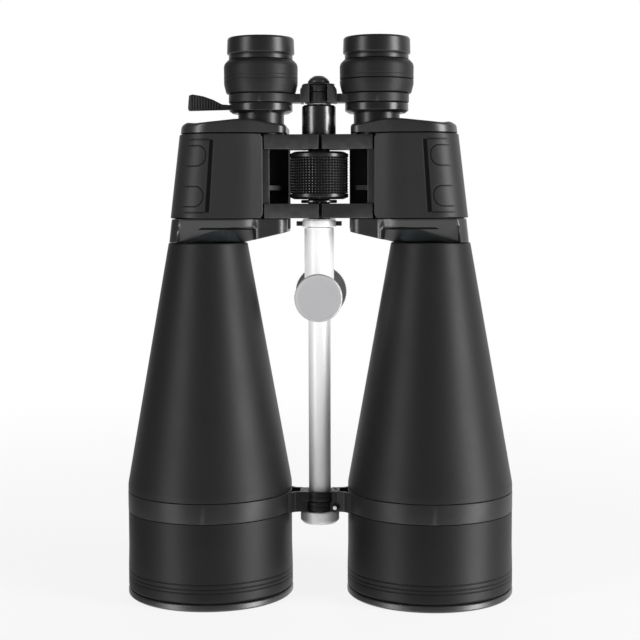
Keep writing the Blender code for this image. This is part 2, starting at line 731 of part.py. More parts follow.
def make_armour(side_name, side):
    """The moulded rubber that wraps the housing, with the grip panel and its finger tabs."""
    name = side_name + "_armour"
    corners = armour_corners()
    inner = inset(corners, ARMOUR_THICKNESS)
    inner[0] = (ARMOUR_INNER_X, FRONT_EDGE_Y + ARMOUR_THICKNESS, 0)
    inner[-1] = (ARMOUR_INNER_X, HOUSING_REAR_Y - ARMOUR_THICKNESS, 0)
    outline = rounded(corners) + list(reversed(rounded(inner)))
    skin = plate(name, on_side(outline, side), ARMOUR_BOTTOM, ARMOUR_TOP, "black_armour")
    lean(skin, side)
    front_skin = HOUSING_FRONT_Y + GROOVE_DEPTH
    far = HOUSING_OUTER_X + 10
    middle = side * GROOVE_X
    groove = block(
        name + "_groove",
        (middle - GROOVE_WIDTH / 2, HOUSING_FRONT_Y - 5, ARMOUR_BOTTOM + PANEL_MARGIN),
        (middle + GROOVE_WIDTH / 2, front_skin, ARMOUR_TOP - PANEL_MARGIN),
    )
    cut(skin, groove)
    for number in (1, 2):
        low = ARMOUR_BOTTOM + TAB_OFFSET + (number - 1) * TAB_SPACING
        tab_outline = rounded(
            [
                (TAB_END_X, low, TAB_HEIGHT * 0.42),
                (far, low, 0),
                (far, low + TAB_HEIGHT, 0),
                (TAB_END_X, low + TAB_HEIGHT, TAB_HEIGHT * 0.42),
            ]
        )
        tab = plate(f"{name}_tab_{number}", on_side(tab_outline, side), -30, 60)
        tab.matrix_world = Matrix.Rotation(math.pi / 2, 4, "X")
        raised = plate(
            f"{name}_raise_{number}",
            on_side(rounded(inset(corners, -TAB_RAISE)), side),
            ARMOUR_BOTTOM,
            ARMOUR_TOP,
        )
        lean(raised, side)
        core = plate(
            f"{name}_core_{number}",
            on_side(rounded(inset(corners, ARMOUR_THICKNESS / 2)), side),
            ARMOUR_BOTTOM - 5,
            ARMOUR_TOP + 5,
        )
        lean(core, side)
        boolean(tab, raised, "INTERSECT")
        cut(tab, core)
        join(skin, tab)


def make_cover(side_name, side):
    """The plate that closes the housing and guides the eyepiece."""
    name = side_name + "_cover_plate"
    full = outer_corners()
    base = plate(
        name,
        on_side(rounded(inset(full, COVER_INSET)), side),
        COVER_BOTTOM,
        COVER_RIM_TOP,
        "gloss_black",
    )
    lean(base, side)
    upper = inset(full, COVER_INSET + COVER_STEP)
    upper[0] = (COVER_DOME_X, upper[0][1], 5.0)
    upper[-1] = (COVER_DOME_X, upper[-1][1], 7.0)
    dome = plate(
        name + "_dome", on_side(rounded(upper), side), COVER_BOTTOM + 1, COVER_TOP
    )
    lean(dome, side)
    guide = drum(
        name + "_guide",
        NECK_RADIUS + GAP,
        COVER_BOTTOM - 5,
        COVER_TOP + 5,
        None,
        (side * EYEPIECE_X, 0),
    )
    # The exact solver leaves an open edge where the dome's side crosses the guide's bore.
    join(base, dome, solver="MANIFOLD")
    cut(base, guide, solver="MANIFOLD")


def make_prisms(side_name, side):
    """The shelf in the housing, the two Porro prisms on it and the straps that hold them."""
    room = inset(housing_corners(), HOUSING_WALL + GAP)
    shelf = plate(
        side_name + "_prism_shelf",
        on_side(rounded(room), side),
        SHELF_Z,
        SHELF_Z + SHELF_THICKNESS,
        "black_metal",
    )
    lean(shelf, side)
    for label, x, y in (
        ("objective", OBJECTIVE_X, 0),
        ("middle", PRISM_MIDDLE_X, PRISM_MIDDLE_Y),
        ("eyepiece", EYEPIECE_X, 0),
    ):
        hole = drum(
            f"{side_name}_shelf_{label}",
            LIGHT_HOLE_RADIUS,
            SHELF_Z - 5,
            SHELF_Z + SHELF_THICKNESS + 5,
            None,
            (side * x, y),
        )
        cut(shelf, hole)
    for label, from_x, up in (("upper", OBJECTIVE_X, 1), ("lower", EYEPIECE_X, -1)):
        centre = ((from_x + PRISM_MIDDLE_X) / 2, PRISM_MIDDLE_Y / 2)
        heading = math.atan2(PRISM_MIDDLE_Y, PRISM_MIDDLE_X - from_x)
        heading = heading if side > 0 else math.pi - heading
        face = SHELF_Z + SHELF_THICKNESS + GAP if up > 0 else SHELF_Z - GAP
        stand = (
            Matrix.Translation((side * centre[0] * MM, centre[1] * MM, face * MM))
            @ Matrix.Rotation(heading, 4, "Z")
            @ Matrix.Rotation(up * math.pi / 2, 4, "X")
        )
        top = 2 * PRISM_EDGE
        section = [
            (-PRISM_HALF_LENGTH, 0),
            (PRISM_HALF_LENGTH, 0),
            (PRISM_HALF_LENGTH, PRISM_EDGE),
            (top, PRISM_HEIGHT),
            (-top, PRISM_HEIGHT),
            (-PRISM_HALF_LENGTH, PRISM_EDGE),
        ]
        prism = plate(
            f"{side_name}_{label}_prism", section, -PRISM_HALF_WIDTH, PRISM_HALF_WIDTH, "glass"
        )
        prism.matrix_world = stand
        make_clip(side_name, label, stand)


def make_clip(side_name, label, stand):
    """A spring strap bent over a prism, with both ends on the shelf."""
    near = PRISM_HALF_WIDTH + GAP
    far = near + CLIP_THICKNESS
    top = PRISM_HEIGHT + GAP
    hook = top + CLIP_THICKNESS
    outline = [
        (-far, 0),
        (-near, 0),
        (-near, top),
        (near, top),
        (near, 0),
        (far, 0),
        (far, hook),
        (-far, hook),
    ]
    clip = plate(
        f"{side_name}_{label}_prism_clip", outline, -CLIP_WIDTH / 2, CLIP_WIDTH / 2, "spring_steel"
    )
    clip.matrix_world = stand @ Matrix.Rotation(math.pi / 2, 4, "Y")


def lens_profile(radius, middle, edge, sag):
    """A thin biconvex lens."""
    half = edge / 2
    return [
        (0, middle + half + sag),
        (radius * 0.6, middle + half + sag * 0.64),
        (radius, middle + half),
        (radius, middle - half),
        (radius * 0.6, middle - half - sag * 0.64),
        (0, middle - half - sag),
    ]


def make_eyepiece(side_name, side):
    """The eyepiece that slides in the cover plate, with its rings, grip, eyecup and lenses."""
    at = (side * EYEPIECE_X, 0)
    bore = NECK_RADIUS + GAP
    ring(
        side_name + "_eyepiece_tube",
        NECK_RADIUS,
        NECK_BORE,
        NECK_BOTTOM,
        NECK_TOP,
        "black_metal",
        at,
    )
    zoom = [
        (ZOOM_RING_RADIUS, ZOOM_RING_TOP),
        (ZOOM_RING_RADIUS, ZOOM_RING_BOTTOM + ZOOM_RING_LIP),
        (ZOOM_RING_RADIUS - 1.8, ZOOM_RING_BOTTOM),
        (bore, ZOOM_RING_BOTTOM),
        (bore, ZOOM_RING_TOP),
    ]
    turned(side_name + "_zoom_ring", zoom, "black_metal", at)
    grip_foot = GRIP_SPLIT + GAP if side_name == "right" else GRIP_BOTTOM
    grip = [
        (EYECUP_LIP_RADIUS, GRIP_TOP),
        (GRIP_RADIUS - 0.7, GRIP_TOP - 1.8),
        (GRIP_RADIUS, GRIP_TOP - 5.0),
        (GRIP_RADIUS, GRIP_SPLIT + GAP),
    ]
    foot = [
        (GRIP_RADIUS - 0.15, GRIP_BOTTOM + 4.0),
        (GRIP_FOOT_RADIUS, GRIP_BOTTOM),
        (bore, GRIP_BOTTOM),
    ]
    if side_name == "left":
        grip += foot + [(bore, GRIP_TOP)]
    else:
        grip += [(bore, grip_foot), (bore, GRIP_TOP)]
        dioptre = [(GRIP_RADIUS, GRIP_SPLIT)] + foot + [(bore, GRIP_SPLIT)]
        turned("dioptre_ring", dioptre, "black_rubber", at)
    turned(side_name + "_eyepiece_grip", grip, "black_rubber", at)
    cup_foot = EYECUP_BOTTOM
    cup = [
        (EYECUP_OPENING, EYECUP_TOP),
        (EYECUP_RADIUS - EYECUP_ROUNDING, EYECUP_TOP),
        (EYECUP_RADIUS, EYECUP_TOP - EYECUP_ROUNDING),
        (EYECUP_RADIUS, EYECUP_LIP_TOP + EYECUP_GROOVE),
        (EYECUP_LIP_RADIUS - EYECUP_GROOVE, EYECUP_LIP_TOP),
        (EYECUP_LIP_RADIUS, EYECUP_LIP_TOP - EYECUP_GROOVE),
        (EYECUP_LIP_RADIUS, cup_foot),
        (bore, cup_foot),
        (bore, EYECUP_LIP_TOP),
        (EYECUP_OPENING - 0.8, EYECUP_LIP_TOP + 1.4),
    ]
    turned(side_name + "_eyecup", cup, "black_rubber", at)
    small = NECK_BORE - GAP
    for label, z in (("eye", EYE_LENS_Z), ("zoom", ZOOM_LENS_Z)):
        profile = lens_profile(small, z, SMALL_LENS_EDGE, SMALL_LENS_SAG)
        turned(f"{side_name}_{label}_lens", profile, "glass", at)


def make_bridge_arm(side_name, side):
    """The arm that carries an eyepiece from the focus spindle."""
    name = side_name + "_bridge_arm"
    at = (side * EYEPIECE_X, 0)
    arm = drum(name, BRIDGE_RING_RADIUS, BRIDGE_BOTTOM, BRIDGE_TOP, "black_metal", at)
    inner = EYEPIECE_X - BRIDGE_RING_RADIUS
    web = plate(
        name + "_web",
        on_side(
            [
                (EAR_OUTER_X - 1, BRIDGE_FRONT_Y),
                (inner + 3.4, BRIDGE_FRONT_Y),
                (inner + 3.4, BRIDGE_REAR_Y),
                (EAR_OUTER_X - 1, BRIDGE_REAR_Y),
            ],
            side,
        ),
        BRIDGE_BOTTOM + SINK,
        BRIDGE_TOP - SINK,
    )
    ear_outline = [
        (EAR_INNER_X, HUB_BOTTOM),
        (EAR_OUTER_X, HUB_BOTTOM),
        (EAR_OUTER_X, HUB_TOP - EAR_CHAMFER * 1.3),
        (EAR_OUTER_X - EAR_CHAMFER * 0.85, HUB_TOP),
        (EAR_INNER_X, HUB_TOP),
    ]
    ear_rear = -BRIDGE_REAR_Y - 0.4
    ear = plate(name + "_ear", on_side(ear_outline, side), ear_rear, -EAR_FRONT_Y)
    ear.matrix_world = Matrix.Rotation(math.pi / 2, 4, "X")
    if side_name == "left":
        own = (HUB_SPLIT_Z + GAP / 2, HUB_TOP)
        other = (HUB_BOTTOM - 5, HUB_SPLIT_Z + GAP / 2)
    else:
        own = (HUB_BOTTOM + SINK, HUB_SPLIT_Z - GAP / 2)
        other = (HUB_SPLIT_Z - GAP / 2, HUB_TOP + 5)
    clear = drum(name + "_clear", HUB_KNUCKLE_RADIUS + TURN_GAP, other[0], other[1])
    knuckle = drum(name + "_knuckle", HUB_KNUCKLE_RADIUS, own[0], own[1])
    pin = drum(name + "_pin_bore", SPINDLE_RADIUS + GAP, HUB_BOTTOM - 5, HUB_TOP + 5)
    tube = drum(
        name + "_tube_bore", NECK_RADIUS + GAP, BRIDGE_BOTTOM - 5, BRIDGE_TOP + 5, None, at
    )
    cut(ear, clear)
    join(arm, web, ear, knuckle)
    cut(arm, pin, tube)


def make_lever():
    """The ribbed paddle that turns the left zoom ring, which drives the right one through a band."""
    root = EYEPIECE_X + ZOOM_RING_RADIUS + GAP
    bottom = ZOOM_RING_BOTTOM + 1.6
    tip = EYEPIECE_X + LEVER_REACH
    outline = [
        (root, bottom + 0.6),
        (tip - 0.4, bottom + 0.2),
        (tip, bottom + 1.0),
        (tip - 0.6, bottom + 8.6),
        (tip - 2.6, bottom + 9.2),
        (tip - 8.4, bottom + 8.2),
        (tip - 14.0, bottom + 6.2),
        (tip - 19.0, bottom + 3.6),
        (root, bottom + 3.3),
    ]
    half = LEVER_THICKNESS / 2
    lever = plate("zoom_lever", on_side(outline, -1), -half, half, "black_rubber")
    lever.matrix_world = Matrix.Rotation(math.pi / 2, 4, "X")


# Centre ------------------------------------------------------------------------------------------


def make_hinge():
    """The tube that both barrels fold about, slotted for the focus key."""
    top = UPPER_ARM[1]
    profile = [
        (HINGE_TUBE_RADIUS, top),
        (HINGE_TUBE_RADIUS, FLANGE_BOTTOM + FLANGE_THICKNESS),
        (KNUCKLE_RADIUS, FLANGE_BOTTOM + FLANGE_THICKNESS),
        (KNUCKLE_RADIUS, FLANGE_BOTTOM),
        (HINGE_TUBE_BORE, FLANGE_BOTTOM),
        (HINGE_TUBE_BORE, top),
    ]
    tube = turned("hinge_tube", profile, "black_metal")
    width = KEY_RADIUS + GAP
    slot = block(
        "hinge_tube_slot",
        (-HINGE_TUBE_RADIUS - 5, -width, KEY_Z - width - 1),
        (HINGE_TUBE_RADIUS + 5, width, KEY_Z + FOCUS_TRAVEL + width + 1),
    )
    cut(tube, slot)
    sleeve_foot = UPPER_ARM[1] + GAP
    focus_tube = [
        (FOCUS_TUBE_RADIUS - 0.9, FOCUS_TUBE_TOP),
        (FOCUS_TUBE_RADIUS, FOCUS_TUBE_TOP - 0.7),
        (FOCUS_TUBE_RADIUS, sleeve_foot),
        (HINGE_TUBE_BORE, sleeve_foot),
        (HINGE_TUBE_BORE, FOCUS_TUBE_TOP),
    ]
    turned("focus_tube", focus_tube, "dark_chrome")


def make_focus():
    """The focus wheel, its thrust washer, and the spindle and key that it lifts."""
    low, high = WHEEL_BOTTOM, WHEEL_TOP
    knurl = WHEEL_RADIUS - WHEEL_KNURL_INSET
    bore = HINGE_TUBE_RADIUS + TURN_GAP
    wheel = [
        (WHEEL_RADIUS - 2 * WHEEL_CHAMFER, high),
        (WHEEL_RADIUS, high - WHEEL_CHAMFER),
        (WHEEL_RADIUS, high - WHEEL_RIM),
        (knurl, high - WHEEL_RIM),
        (knurl, low + WHEEL_RIM),
        (WHEEL_RADIUS, low + WHEEL_RIM),
        (WHEEL_RADIUS, low + WHEEL_CHAMFER),
        (WHEEL_RADIUS - 2 * WHEEL_CHAMFER, low),
        (bore, low),
        (bore, low + 2),
        (WHEEL_POCKET_RADIUS, low + 2),
        (WHEEL_POCKET_RADIUS, high - 2),
        (bore, high - 2),
        (bore, high),
    ]
    turned("focus_wheel", wheel, "black_metal", steps=WHEEL_STEPS)
    ring(
        "thrust_washer",
        WASHER_RADIUS,
        HINGE_TUBE_RADIUS + GAP,
        LOWER_ARM[1] + GAP,
        WHEEL_BOTTOM - GAP,
        "dark_chrome",
    )
    flange_low = FOCUS_TUBE_TOP + GAP
    spindle_top = HUB_TOP
    spindle = turned(
        "focus_spindle",
        [
            (0, spindle_top),
            (SPINDLE_RADIUS, spindle_top),
            (SPINDLE_RADIUS, HUB_BOTTOM - GAP),
            (SPINDLE_FLANGE_RADIUS, HUB_BOTTOM - GAP),
            (SPINDLE_FLANGE_RADIUS, flange_low),
            (SPINDLE_RADIUS, flange_low),
            (SPINDLE_RADIUS, SPINDLE_BOTTOM),
            (0, SPINDLE_BOTTOM),
        ],
        "silver",
    )
    key_hole = drum("spindle_key_hole", KEY_RADIUS + GAP, -20, 20, steps=PIN_STEPS)
    key_hole.matrix_world = along_x(0, 0, KEY_Z)
    cut(spindle, key_hole)
    half = KEY_HALF_LENGTH
    key = drum("focus_key", KEY_RADIUS, -half, half, "spring_steel", steps=PIN_STEPS)
    key.matrix_world = along_x(0, 0, KEY_Z)
    washer_low = HUB_TOP + GAP
    drum(
        "hub_washer",
        HUB_WASHER_RADIUS,
        washer_low,
        washer_low + HUB_WASHER_THICKNESS,
        "black_metal",
        steps=PIN_STEPS,
    )
    cap_low = washer_low + HUB_WASHER_THICKNESS + GAP
    turned(
        "hub_cap",
        [
            (0, cap_low + CAP_HEIGHT),
            (CAP_FLAT_RADIUS, cap_low + CAP_HEIGHT),
            (CAP_RADIUS, cap_low + CAP_EDGE),
            (CAP_RADIUS, cap_low),
            (0, cap_low),
        ],
        "black_metal",
    )


def along_x(x, y, z):
    """The matrix that turns a piece made along Z to lie along X."""
    return Matrix.Translation((x * MM, y * MM, z * MM)) @ Matrix.Rotation(math.pi / 2, 4, "Y")


def make_rod():
    """The central rod between the hinge and the front bridge, with its collar, pin and end cap."""
    hole = drum("rod_pin_hole", PIN_RADIUS + GAP, -20, 20, steps=PIN_STEPS)
    pin_z = (COLLAR_BOTTOM + COLLAR_TOP) / 2
    hole.matrix_world = along_x(0, 0, pin_z)
    rod = drum("centre_rod", ROD_RADIUS, ROD_BOTTOM, COLLAR_TOP, "silver")
    cut(rod, hole)
    collar = ring(
        "rod_collar", COLLAR_RADIUS, ROD_RADIUS + GAP, COLLAR_BOTTOM, COLLAR_TOP, "silver"
    )
    cut(collar, hole)
    half = PIN_HALF_LENGTH
    pin = drum("collar_pin", PIN_RADIUS, -half, half, "black_metal", steps=PIN_STEPS)
    pin.matrix_world = along_x(0, 0, pin_z)
    bore = ROD_RADIUS + GAP
    turned(
        "rod_end_cap",
        [
            (END_CAP_RADIUS, END_CAP_TOP),
            (END_CAP_RADIUS, END_CAP_BOTTOM + 1.6),
            (END_CAP_RADIUS - 1.6, END_CAP_BOTTOM),
            (0, END_CAP_BOTTOM),
            (0, ROD_BOTTOM - GAP),
            (bore, ROD_BOTTOM - GAP),
            (bore, END_CAP_TOP),
        ],
        "silver",
    )


def make_tripod_clamp():
    """The sleeve that slides on the rod, its clamp knob, and the post and foot for a tripod."""
    sleeve = drum(
        "tripod_sleeve", SLEEVE_RADIUS, SLEEVE_BOTTOM, SLEEVE_TOP, "silver"
    )
    rod_bore = drum("sleeve_bore", ROD_RADIUS + GAP, SLEEVE_BOTTOM - 5, COLLAR_BOTTOM + 5)
    boss = drum("sleeve_boss", BOSS_RADIUS, 0, -BOSS_FRONT_Y)
    boss.matrix_world = Matrix.Translation((0, 0, CLAMP_Z * MM)) @ Matrix.Rotation(
        math.pi / 2, 4, "X"
    )
    foot_front = FOOT_REAR_Y - FOOT_THICKNESS
    post = drum("sleeve_post", POST_RADIUS, 0, foot_front - GAP)
    along_y(post, 0, 0, CLAMP_Z)
    stem_bore = drum("sleeve_stem_bore", KNOB_STEM_RADIUS + GAP, 0, 40, steps=PIN_STEPS)
    stem_bore.matrix_world = Matrix.Translation((0, 0, CLAMP_Z * MM)) @ Matrix.Rotation(
        math.pi / 2, 4, "X"
    )
    join(sleeve, boss, post)
    cut(sleeve, rod_bore, stem_bore)
    foot = turned(
        "tripod_foot",
        [
            (SOCKET_RADIUS, FOOT_THICKNESS),
            (FOOT_RADIUS - 0.6, FOOT_THICKNESS),
            (FOOT_RADIUS, FOOT_THICKNESS - 0.6),
            (FOOT_RADIUS, 0.6),
            (FOOT_RADIUS - 0.6, 0),
            (0, 0),
            (0, FOOT_THICKNESS - SOCKET_DEPTH),
            (SOCKET_RADIUS, FOOT_THICKNESS - SOCKET_DEPTH),
        ],
        "brushed_silver",
        steps=WHEEL_STEPS,
    )
    along_y(foot, 0, foot_front, CLAMP_Z)
    rear, front = -KNOB_REAR_Y, -KNOB_REAR_Y + KNOB_THICKNESS
    stem_end = ROD_RADIUS + 2 * GAP
    knob = turned(
        "tripod_knob",
        [
            (0, front),
            (KNOB_RADIUS - 0.5, front),
            (KNOB_RADIUS, front - 0.5),
            (KNOB_RADIUS, rear + 0.5),
            (KNOB_RADIUS - 0.5, rear),
            (KNOB_STEM_RADIUS, rear),
            (KNOB_STEM_RADIUS, stem_end),
            (0, stem_end),
        ],
        "brushed_silver",
        steps=WHEEL_STEPS,
    )
    knob.matrix_world = Matrix.Translation((0, 0, CLAMP_Z * MM)) @ Matrix.Rotation(
        math.pi / 2, 4, "X"
    )


for side_name, side in SIDES.items():
    make_objective(side_name, side)
    make_front_bridge(side_name, side)
    make_housing(side_name, side)
    make_armour(side_name, side)
    make_cover(side_name, side)
    make_prisms(side_name, side)
    make_eyepiece(side_name, side)
    make_bridge_arm(side_name, side)
make_lever()
make_hinge()
make_focus()
make_rod()
make_tripod_clamp()
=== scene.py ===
"""Looks of a pair of large zoom binoculars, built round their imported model.

Every piece takes its place and its outer size from the model's own nodes, and rides on the body of the
node that it stands for. Lengths are in millimetres until a surface becomes a mesh. A piece of the left
barrel is the right one mirrored across the plane between the barrels.
"""

import json
import logging
import math
from collections.abc import Callable, Sequence
from dataclasses import dataclass, field
from enum import Enum

import bmesh
import bpy
import numpy as np
from numpy.typing import NDArray
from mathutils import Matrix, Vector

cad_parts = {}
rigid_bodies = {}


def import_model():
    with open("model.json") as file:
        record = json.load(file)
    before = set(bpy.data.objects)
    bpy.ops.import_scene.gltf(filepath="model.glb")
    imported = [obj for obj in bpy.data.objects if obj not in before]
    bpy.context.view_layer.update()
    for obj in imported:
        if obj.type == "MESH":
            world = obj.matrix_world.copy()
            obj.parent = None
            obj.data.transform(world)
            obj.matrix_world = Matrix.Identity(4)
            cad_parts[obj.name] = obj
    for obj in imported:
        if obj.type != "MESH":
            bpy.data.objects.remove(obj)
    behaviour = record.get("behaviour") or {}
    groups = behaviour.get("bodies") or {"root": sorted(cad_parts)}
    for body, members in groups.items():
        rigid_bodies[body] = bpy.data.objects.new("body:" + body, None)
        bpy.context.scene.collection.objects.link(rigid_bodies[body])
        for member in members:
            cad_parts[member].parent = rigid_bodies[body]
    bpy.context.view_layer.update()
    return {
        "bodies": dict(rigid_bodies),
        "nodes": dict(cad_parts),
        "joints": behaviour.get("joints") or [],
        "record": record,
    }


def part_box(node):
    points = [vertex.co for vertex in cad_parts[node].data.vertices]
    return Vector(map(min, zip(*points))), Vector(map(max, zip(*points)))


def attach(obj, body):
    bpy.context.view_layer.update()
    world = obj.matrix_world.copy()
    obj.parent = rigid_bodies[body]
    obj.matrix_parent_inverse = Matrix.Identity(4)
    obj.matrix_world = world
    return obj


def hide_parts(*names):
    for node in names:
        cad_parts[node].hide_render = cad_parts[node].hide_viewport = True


Array = NDArray[np.float64]
Indices = NDArray[np.int64]
Corner = tuple[float, ...]
Warp = Callable[[Array], Array]

MM = 0.001
LOG = logging.getLogger("binoculars")


class Axis(Enum):
    """The line that a piece is turned about, as the order that (across, across, along) takes."""

    X = (2, 0, 1)
    Y = (0, 2, 1)
    Z = (0, 1, 2)


class Side(Enum):
    """One of the two barrels, with the sign of its X."""

    LEFT = -1
    RIGHT = 1

    def node(self, part: str) -> str:
        """The model's name for this side's part."""
        return f"{self.name.lower()}_{part}"


# Surfaces ---------------------------------------------------------------------------------------


@dataclass
class Surface:
    """A closed skin: its points, its four-cornered faces, and its flat caps of many corners."""

    points: Array
    quads: Indices
    caps: list[list[int]] = field(default_factory=list)
    # How much painted shade darkens each point, standing for the shade in the armour's grooves.
    crease: Array | None = None

    def volume(self) -> float:
        """Six times the signed volume: each face's corners times one another, summed over fans."""
        corners = self.points[self.quads]
        total = np.linalg.det(corners[:, (0, 1, 2)]).sum() + np.linalg.det(corners[:, (0, 2, 3)]).sum()
        for cap in self.caps:
            ring = self.points[cap]
            fan = np.stack([np.broadcast_to(ring[0], ring[2:].shape), ring[1:-1], ring[2:]], axis=1)
            total += np.linalg.det(fan).sum()
        return float(total)

    def outward(self) -> "Surface":
        """The same skin with its faces pointing out."""
        if self.volume() >= 0:
            return self
        return Surface(self.points, self.quads[:, ::-1], [cap[::-1] for cap in self.caps], self.crease)

    def warped(self, warp: Warp) -> "Surface":
        """The same skin with every point moved by a function of all points."""
        return Surface(warp(self.points), self.quads, self.caps, self.crease).outward()

    def on(self, side: Side) -> "Surface":
        """The skin mirrored to its side of the object."""
        return self.warped(lambda points: points * (side.value, 1, 1))


@dataclass(frozen=True)
class Box:
    """A node's box in millimetres."""

    low: Array
    high: Array

    @classmethod
    def of(cls, node: str) -> "Box":
        """The box of one node at rest."""
        low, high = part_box(node)
        return cls(np.array(low) / MM, np.array(high) / MM)

    @property
    def middle(self) -> Array:
        """The centre of the box."""
        return (self.low + self.high) / 2

    @property
    def radius(self) -> float:
        """Half the width, which is the radius of an upright turned piece."""
        return float(self.high[0] - self.low[0]) / 2

    @property
    def bottom(self) -> float:
        """The lowest height."""
        return float(self.low[2])

    @property
    def top(self) -> float:
        """The greatest height."""
        return float(self.high[2])


def grid_faces(rows: int, columns: int, wrap_rows: bool, wrap_columns: bool) -> Indices:
    """Faces between neighbouring points of a grid stored row by row.

    Args:
        rows: Number of rows of points.
        columns: Number of points in a row.
        wrap_rows: Whether the last row joins the first.
        wrap_columns: Whether the last point of a row joins its first.

    Returns:
        One line of four point numbers for each face.
    """
    i = np.arange(rows if wrap_rows else rows - 1)[:, None]
    j = np.arange(columns if wrap_columns else columns - 1)[None, :]
    down, across = (i + 1) % rows, (j + 1) % columns
    corners = [i * columns + j, i * columns + across, down * columns + across, down * columns + j]
    return np.stack([np.broadcast_to(c, (i.size, j.size)).ravel() for c in corners], axis=1)


def rounded(corners: Sequence[Corner], fillet: float, steps: int = 4, closed: bool = True) -> Array:
    """An outline whose corners are arcs.

    An arc's centre lies on the corner's bisector at radius / sin(half the angle), and the arc runs between
    the two tangent points, radius / tan(half the angle) from the corner. A radius that its sides can't
    hold is cut down to what they can.

    Args:
        corners: (x, y) or (x, y, radius) of each corner in order.
        fillet: Radius of the corners that state none.
        steps: Straight pieces in each arc.
        closed: Whether the last corner joins the first.

    Returns:
        The outline's points, steps + 1 for each corner.
    """
    points = np.array([corner[:2] for corner in corners], float)
    radii = np.array([corner[2] if len(corner) > 2 else fillet for corner in corners], float)
    if not closed:
        radii[[0, -1]] = 0
    before, after = np.roll(points, 1, axis=0) - points, np.roll(points, -1, axis=0) - points
    reach_before, reach_after = np.linalg.norm(before, axis=1), np.linalg.norm(after, axis=1)
    before, after = before / reach_before[:, None], after / reach_after[:, None]
    half = np.arccos(np.clip((before * after).sum(axis=1), -1, 1)) / 2
    room = 0.499 * np.minimum(reach_before, reach_after) * np.tan(half)
    radii = np.minimum(radii, np.abs(room))
    bisector = before + after
    length = np.linalg.norm(bisector, axis=1)
    straight = length < 1e-6
    bisector = np.where(straight[:, None], 0, bisector / np.where(straight, 1, length)[:, None])
    centre = points + bisector * (radii / np.maximum(np.sin(half), 1e-6))[:, None]
    tangent = (radii / np.maximum(np.tan(half), 1e-6))[:, None]
    start, end = points + before * tangent - centre, points + after * tangent - centre
    first, last = np.arctan2(start[:, 1], start[:, 0]), np.arctan2(end[:, 1], end[:, 0])
    turn = (last - first + math.pi) % (2 * math.pi) - math.pi
    angle = first[:, None] + turn[:, None] * np.linspace(0, 1, steps + 1)
    arc = centre[:, None] + radii[:, None, None] * np.stack([np.cos(angle), np.sin(angle)], axis=2)
    arc = np.where((radii < 1e-6)[:, None, None], points[:, None], arc)
    return arc.reshape(-1, 2)


def inset(corners: Sequence[Corner], distance: float) -> list[Corner]:
    """Counter-clockwise corners with every side moved inwards, and their radii changed to suit.

    Args:
        corners: (x, y, radius) of each corner, counter-clockwise.
        distance: How far the sides move, outwards if negative.

    Returns:
        The moved corners.
    """
    moved = []
    for i, (x, y, radius) in enumerate(corners):
        last, following = corners[i - 1], corners[(i + 1) % len(corners)]
        first = math.atan2(y - last[1], x - last[0])
        second = math.atan2(following[1] - y, following[0] - x)
        half = (second - first + math.pi) % (2 * math.pi) - math.pi
        reach = distance / math.cos(half / 2)
        middle = first + half / 2 + math.pi / 2
        fitted = max(radius - distance, 0) if half > 0 else radius + distance
        moved.append((x + reach * math.cos(middle), y + reach * math.sin(middle), fitted))
    return moved


def turned(
    corners: Sequence[Corner],
    centre: tuple[float, float] = (0, 0),
    axis: Axis = Axis.Z,
    segments: int = 96,
    fillet: float = 0.25,
    steps: int = 3,
) -> Surface:
    """A surface of revolution: (r cos a, r sin a, h) for every profile point (r, h) and angle a.

    Args:
        corners: (radius, height) or (radius, height, fillet) of the profile. A profile that starts and
            ends on the axis is solid, and any other is closed into a ring.
        centre: Where the axis stands, in the two directions across it.
        axis: The line that the profile is turned about.
        segments: Facets round the axis.
        fillet: Radius of the corners that state none.
        steps: Straight pieces in each fillet.

    Returns:
        The closed skin.
    """
    solid = corners[0][0] == 0
    profile = rounded(corners, fillet, steps, closed=not solid)
    angle = np.linspace(0, 2 * math.pi, segments, endpoint=False)
    first = centre[0] + profile[:, :1] * np.cos(angle)
    second = centre[1] + profile[:, :1] * np.sin(angle)
    along = np.broadcast_to(profile[:, 1:], first.shape)
    across = np.stack([first, second, along], axis=2).reshape(-1, 3)
    points = np.empty_like(across)
    points[:, axis.value] = across
    faces = grid_faces(len(profile), segments, not solid, True)
    return Surface(points, faces).outward()


def stacked(rings: Array, warp: Warp | None = None, crease: Array | None = None) -> Surface:
    """A skin through rings of equal count, one above another, with a flat cap on each end.

    Args:
        rings: Points as (ring, point, coordinate).
        warp: A function that moves all points at the end.
        crease: How much painted shade darkens each point, standing for the shade in the armour's grooves.

    Returns:
        The closed skin.
    """
    count, size = rings.shape[:2]
    points = rings.reshape(-1, 3)
    caps = [list(range(size))[::-1], list(range((count - 1) * size, count * size))]
    faces = grid_faces(count, size, False, True)
    surface = Surface(points if warp is None else warp(points), faces, caps, crease)
    return surface.outward()


def slab(
    corners: Sequence[Corner],
    low: float,
    high: float,
    edge: float = 0.4,
    warp: Warp | None = None,
    steps: int = 6,
) -> Surface:
    """An upright slab with rounded rims.

    Near each rim the outline shrinks by edge * (1 - cos a) while the height runs by edge * sin a.

    Args:
        corners: (x, y, radius) of each corner, counter-clockwise.
        low: Height of the underside.
        high: Height of the top.
        edge: Radius of the rims.
        warp: A function that moves all points at the end.
        steps: Straight pieces in each upright corner.

    Returns:
        The closed skin.
    """
    angle = np.linspace(0, math.pi / 2, 4)
    shrink = edge * (1 - np.cos(angle))
    rise = edge * (1 - np.sin(angle))
    section = [(d, low + h) for d, h in zip(shrink[::-1], rise[::-1])]
    section += [(d, high - h) for d, h in zip(shrink, rise)]
    rings = []
    for distance, height in section:
        outline = rounded(inset(corners, distance), 0, steps)
        rings.append(np.column_stack([outline, np.full(len(outline), height)]))
    return stacked(np.array(rings), warp)


def facing_front(points: Array) -> Array:
    """Points drawn as (x, height, depth) turned to stand upright, with the depth running to -Y."""
    return np.column_stack([points[:, 0], -points[:, 2], points[:, 1]])


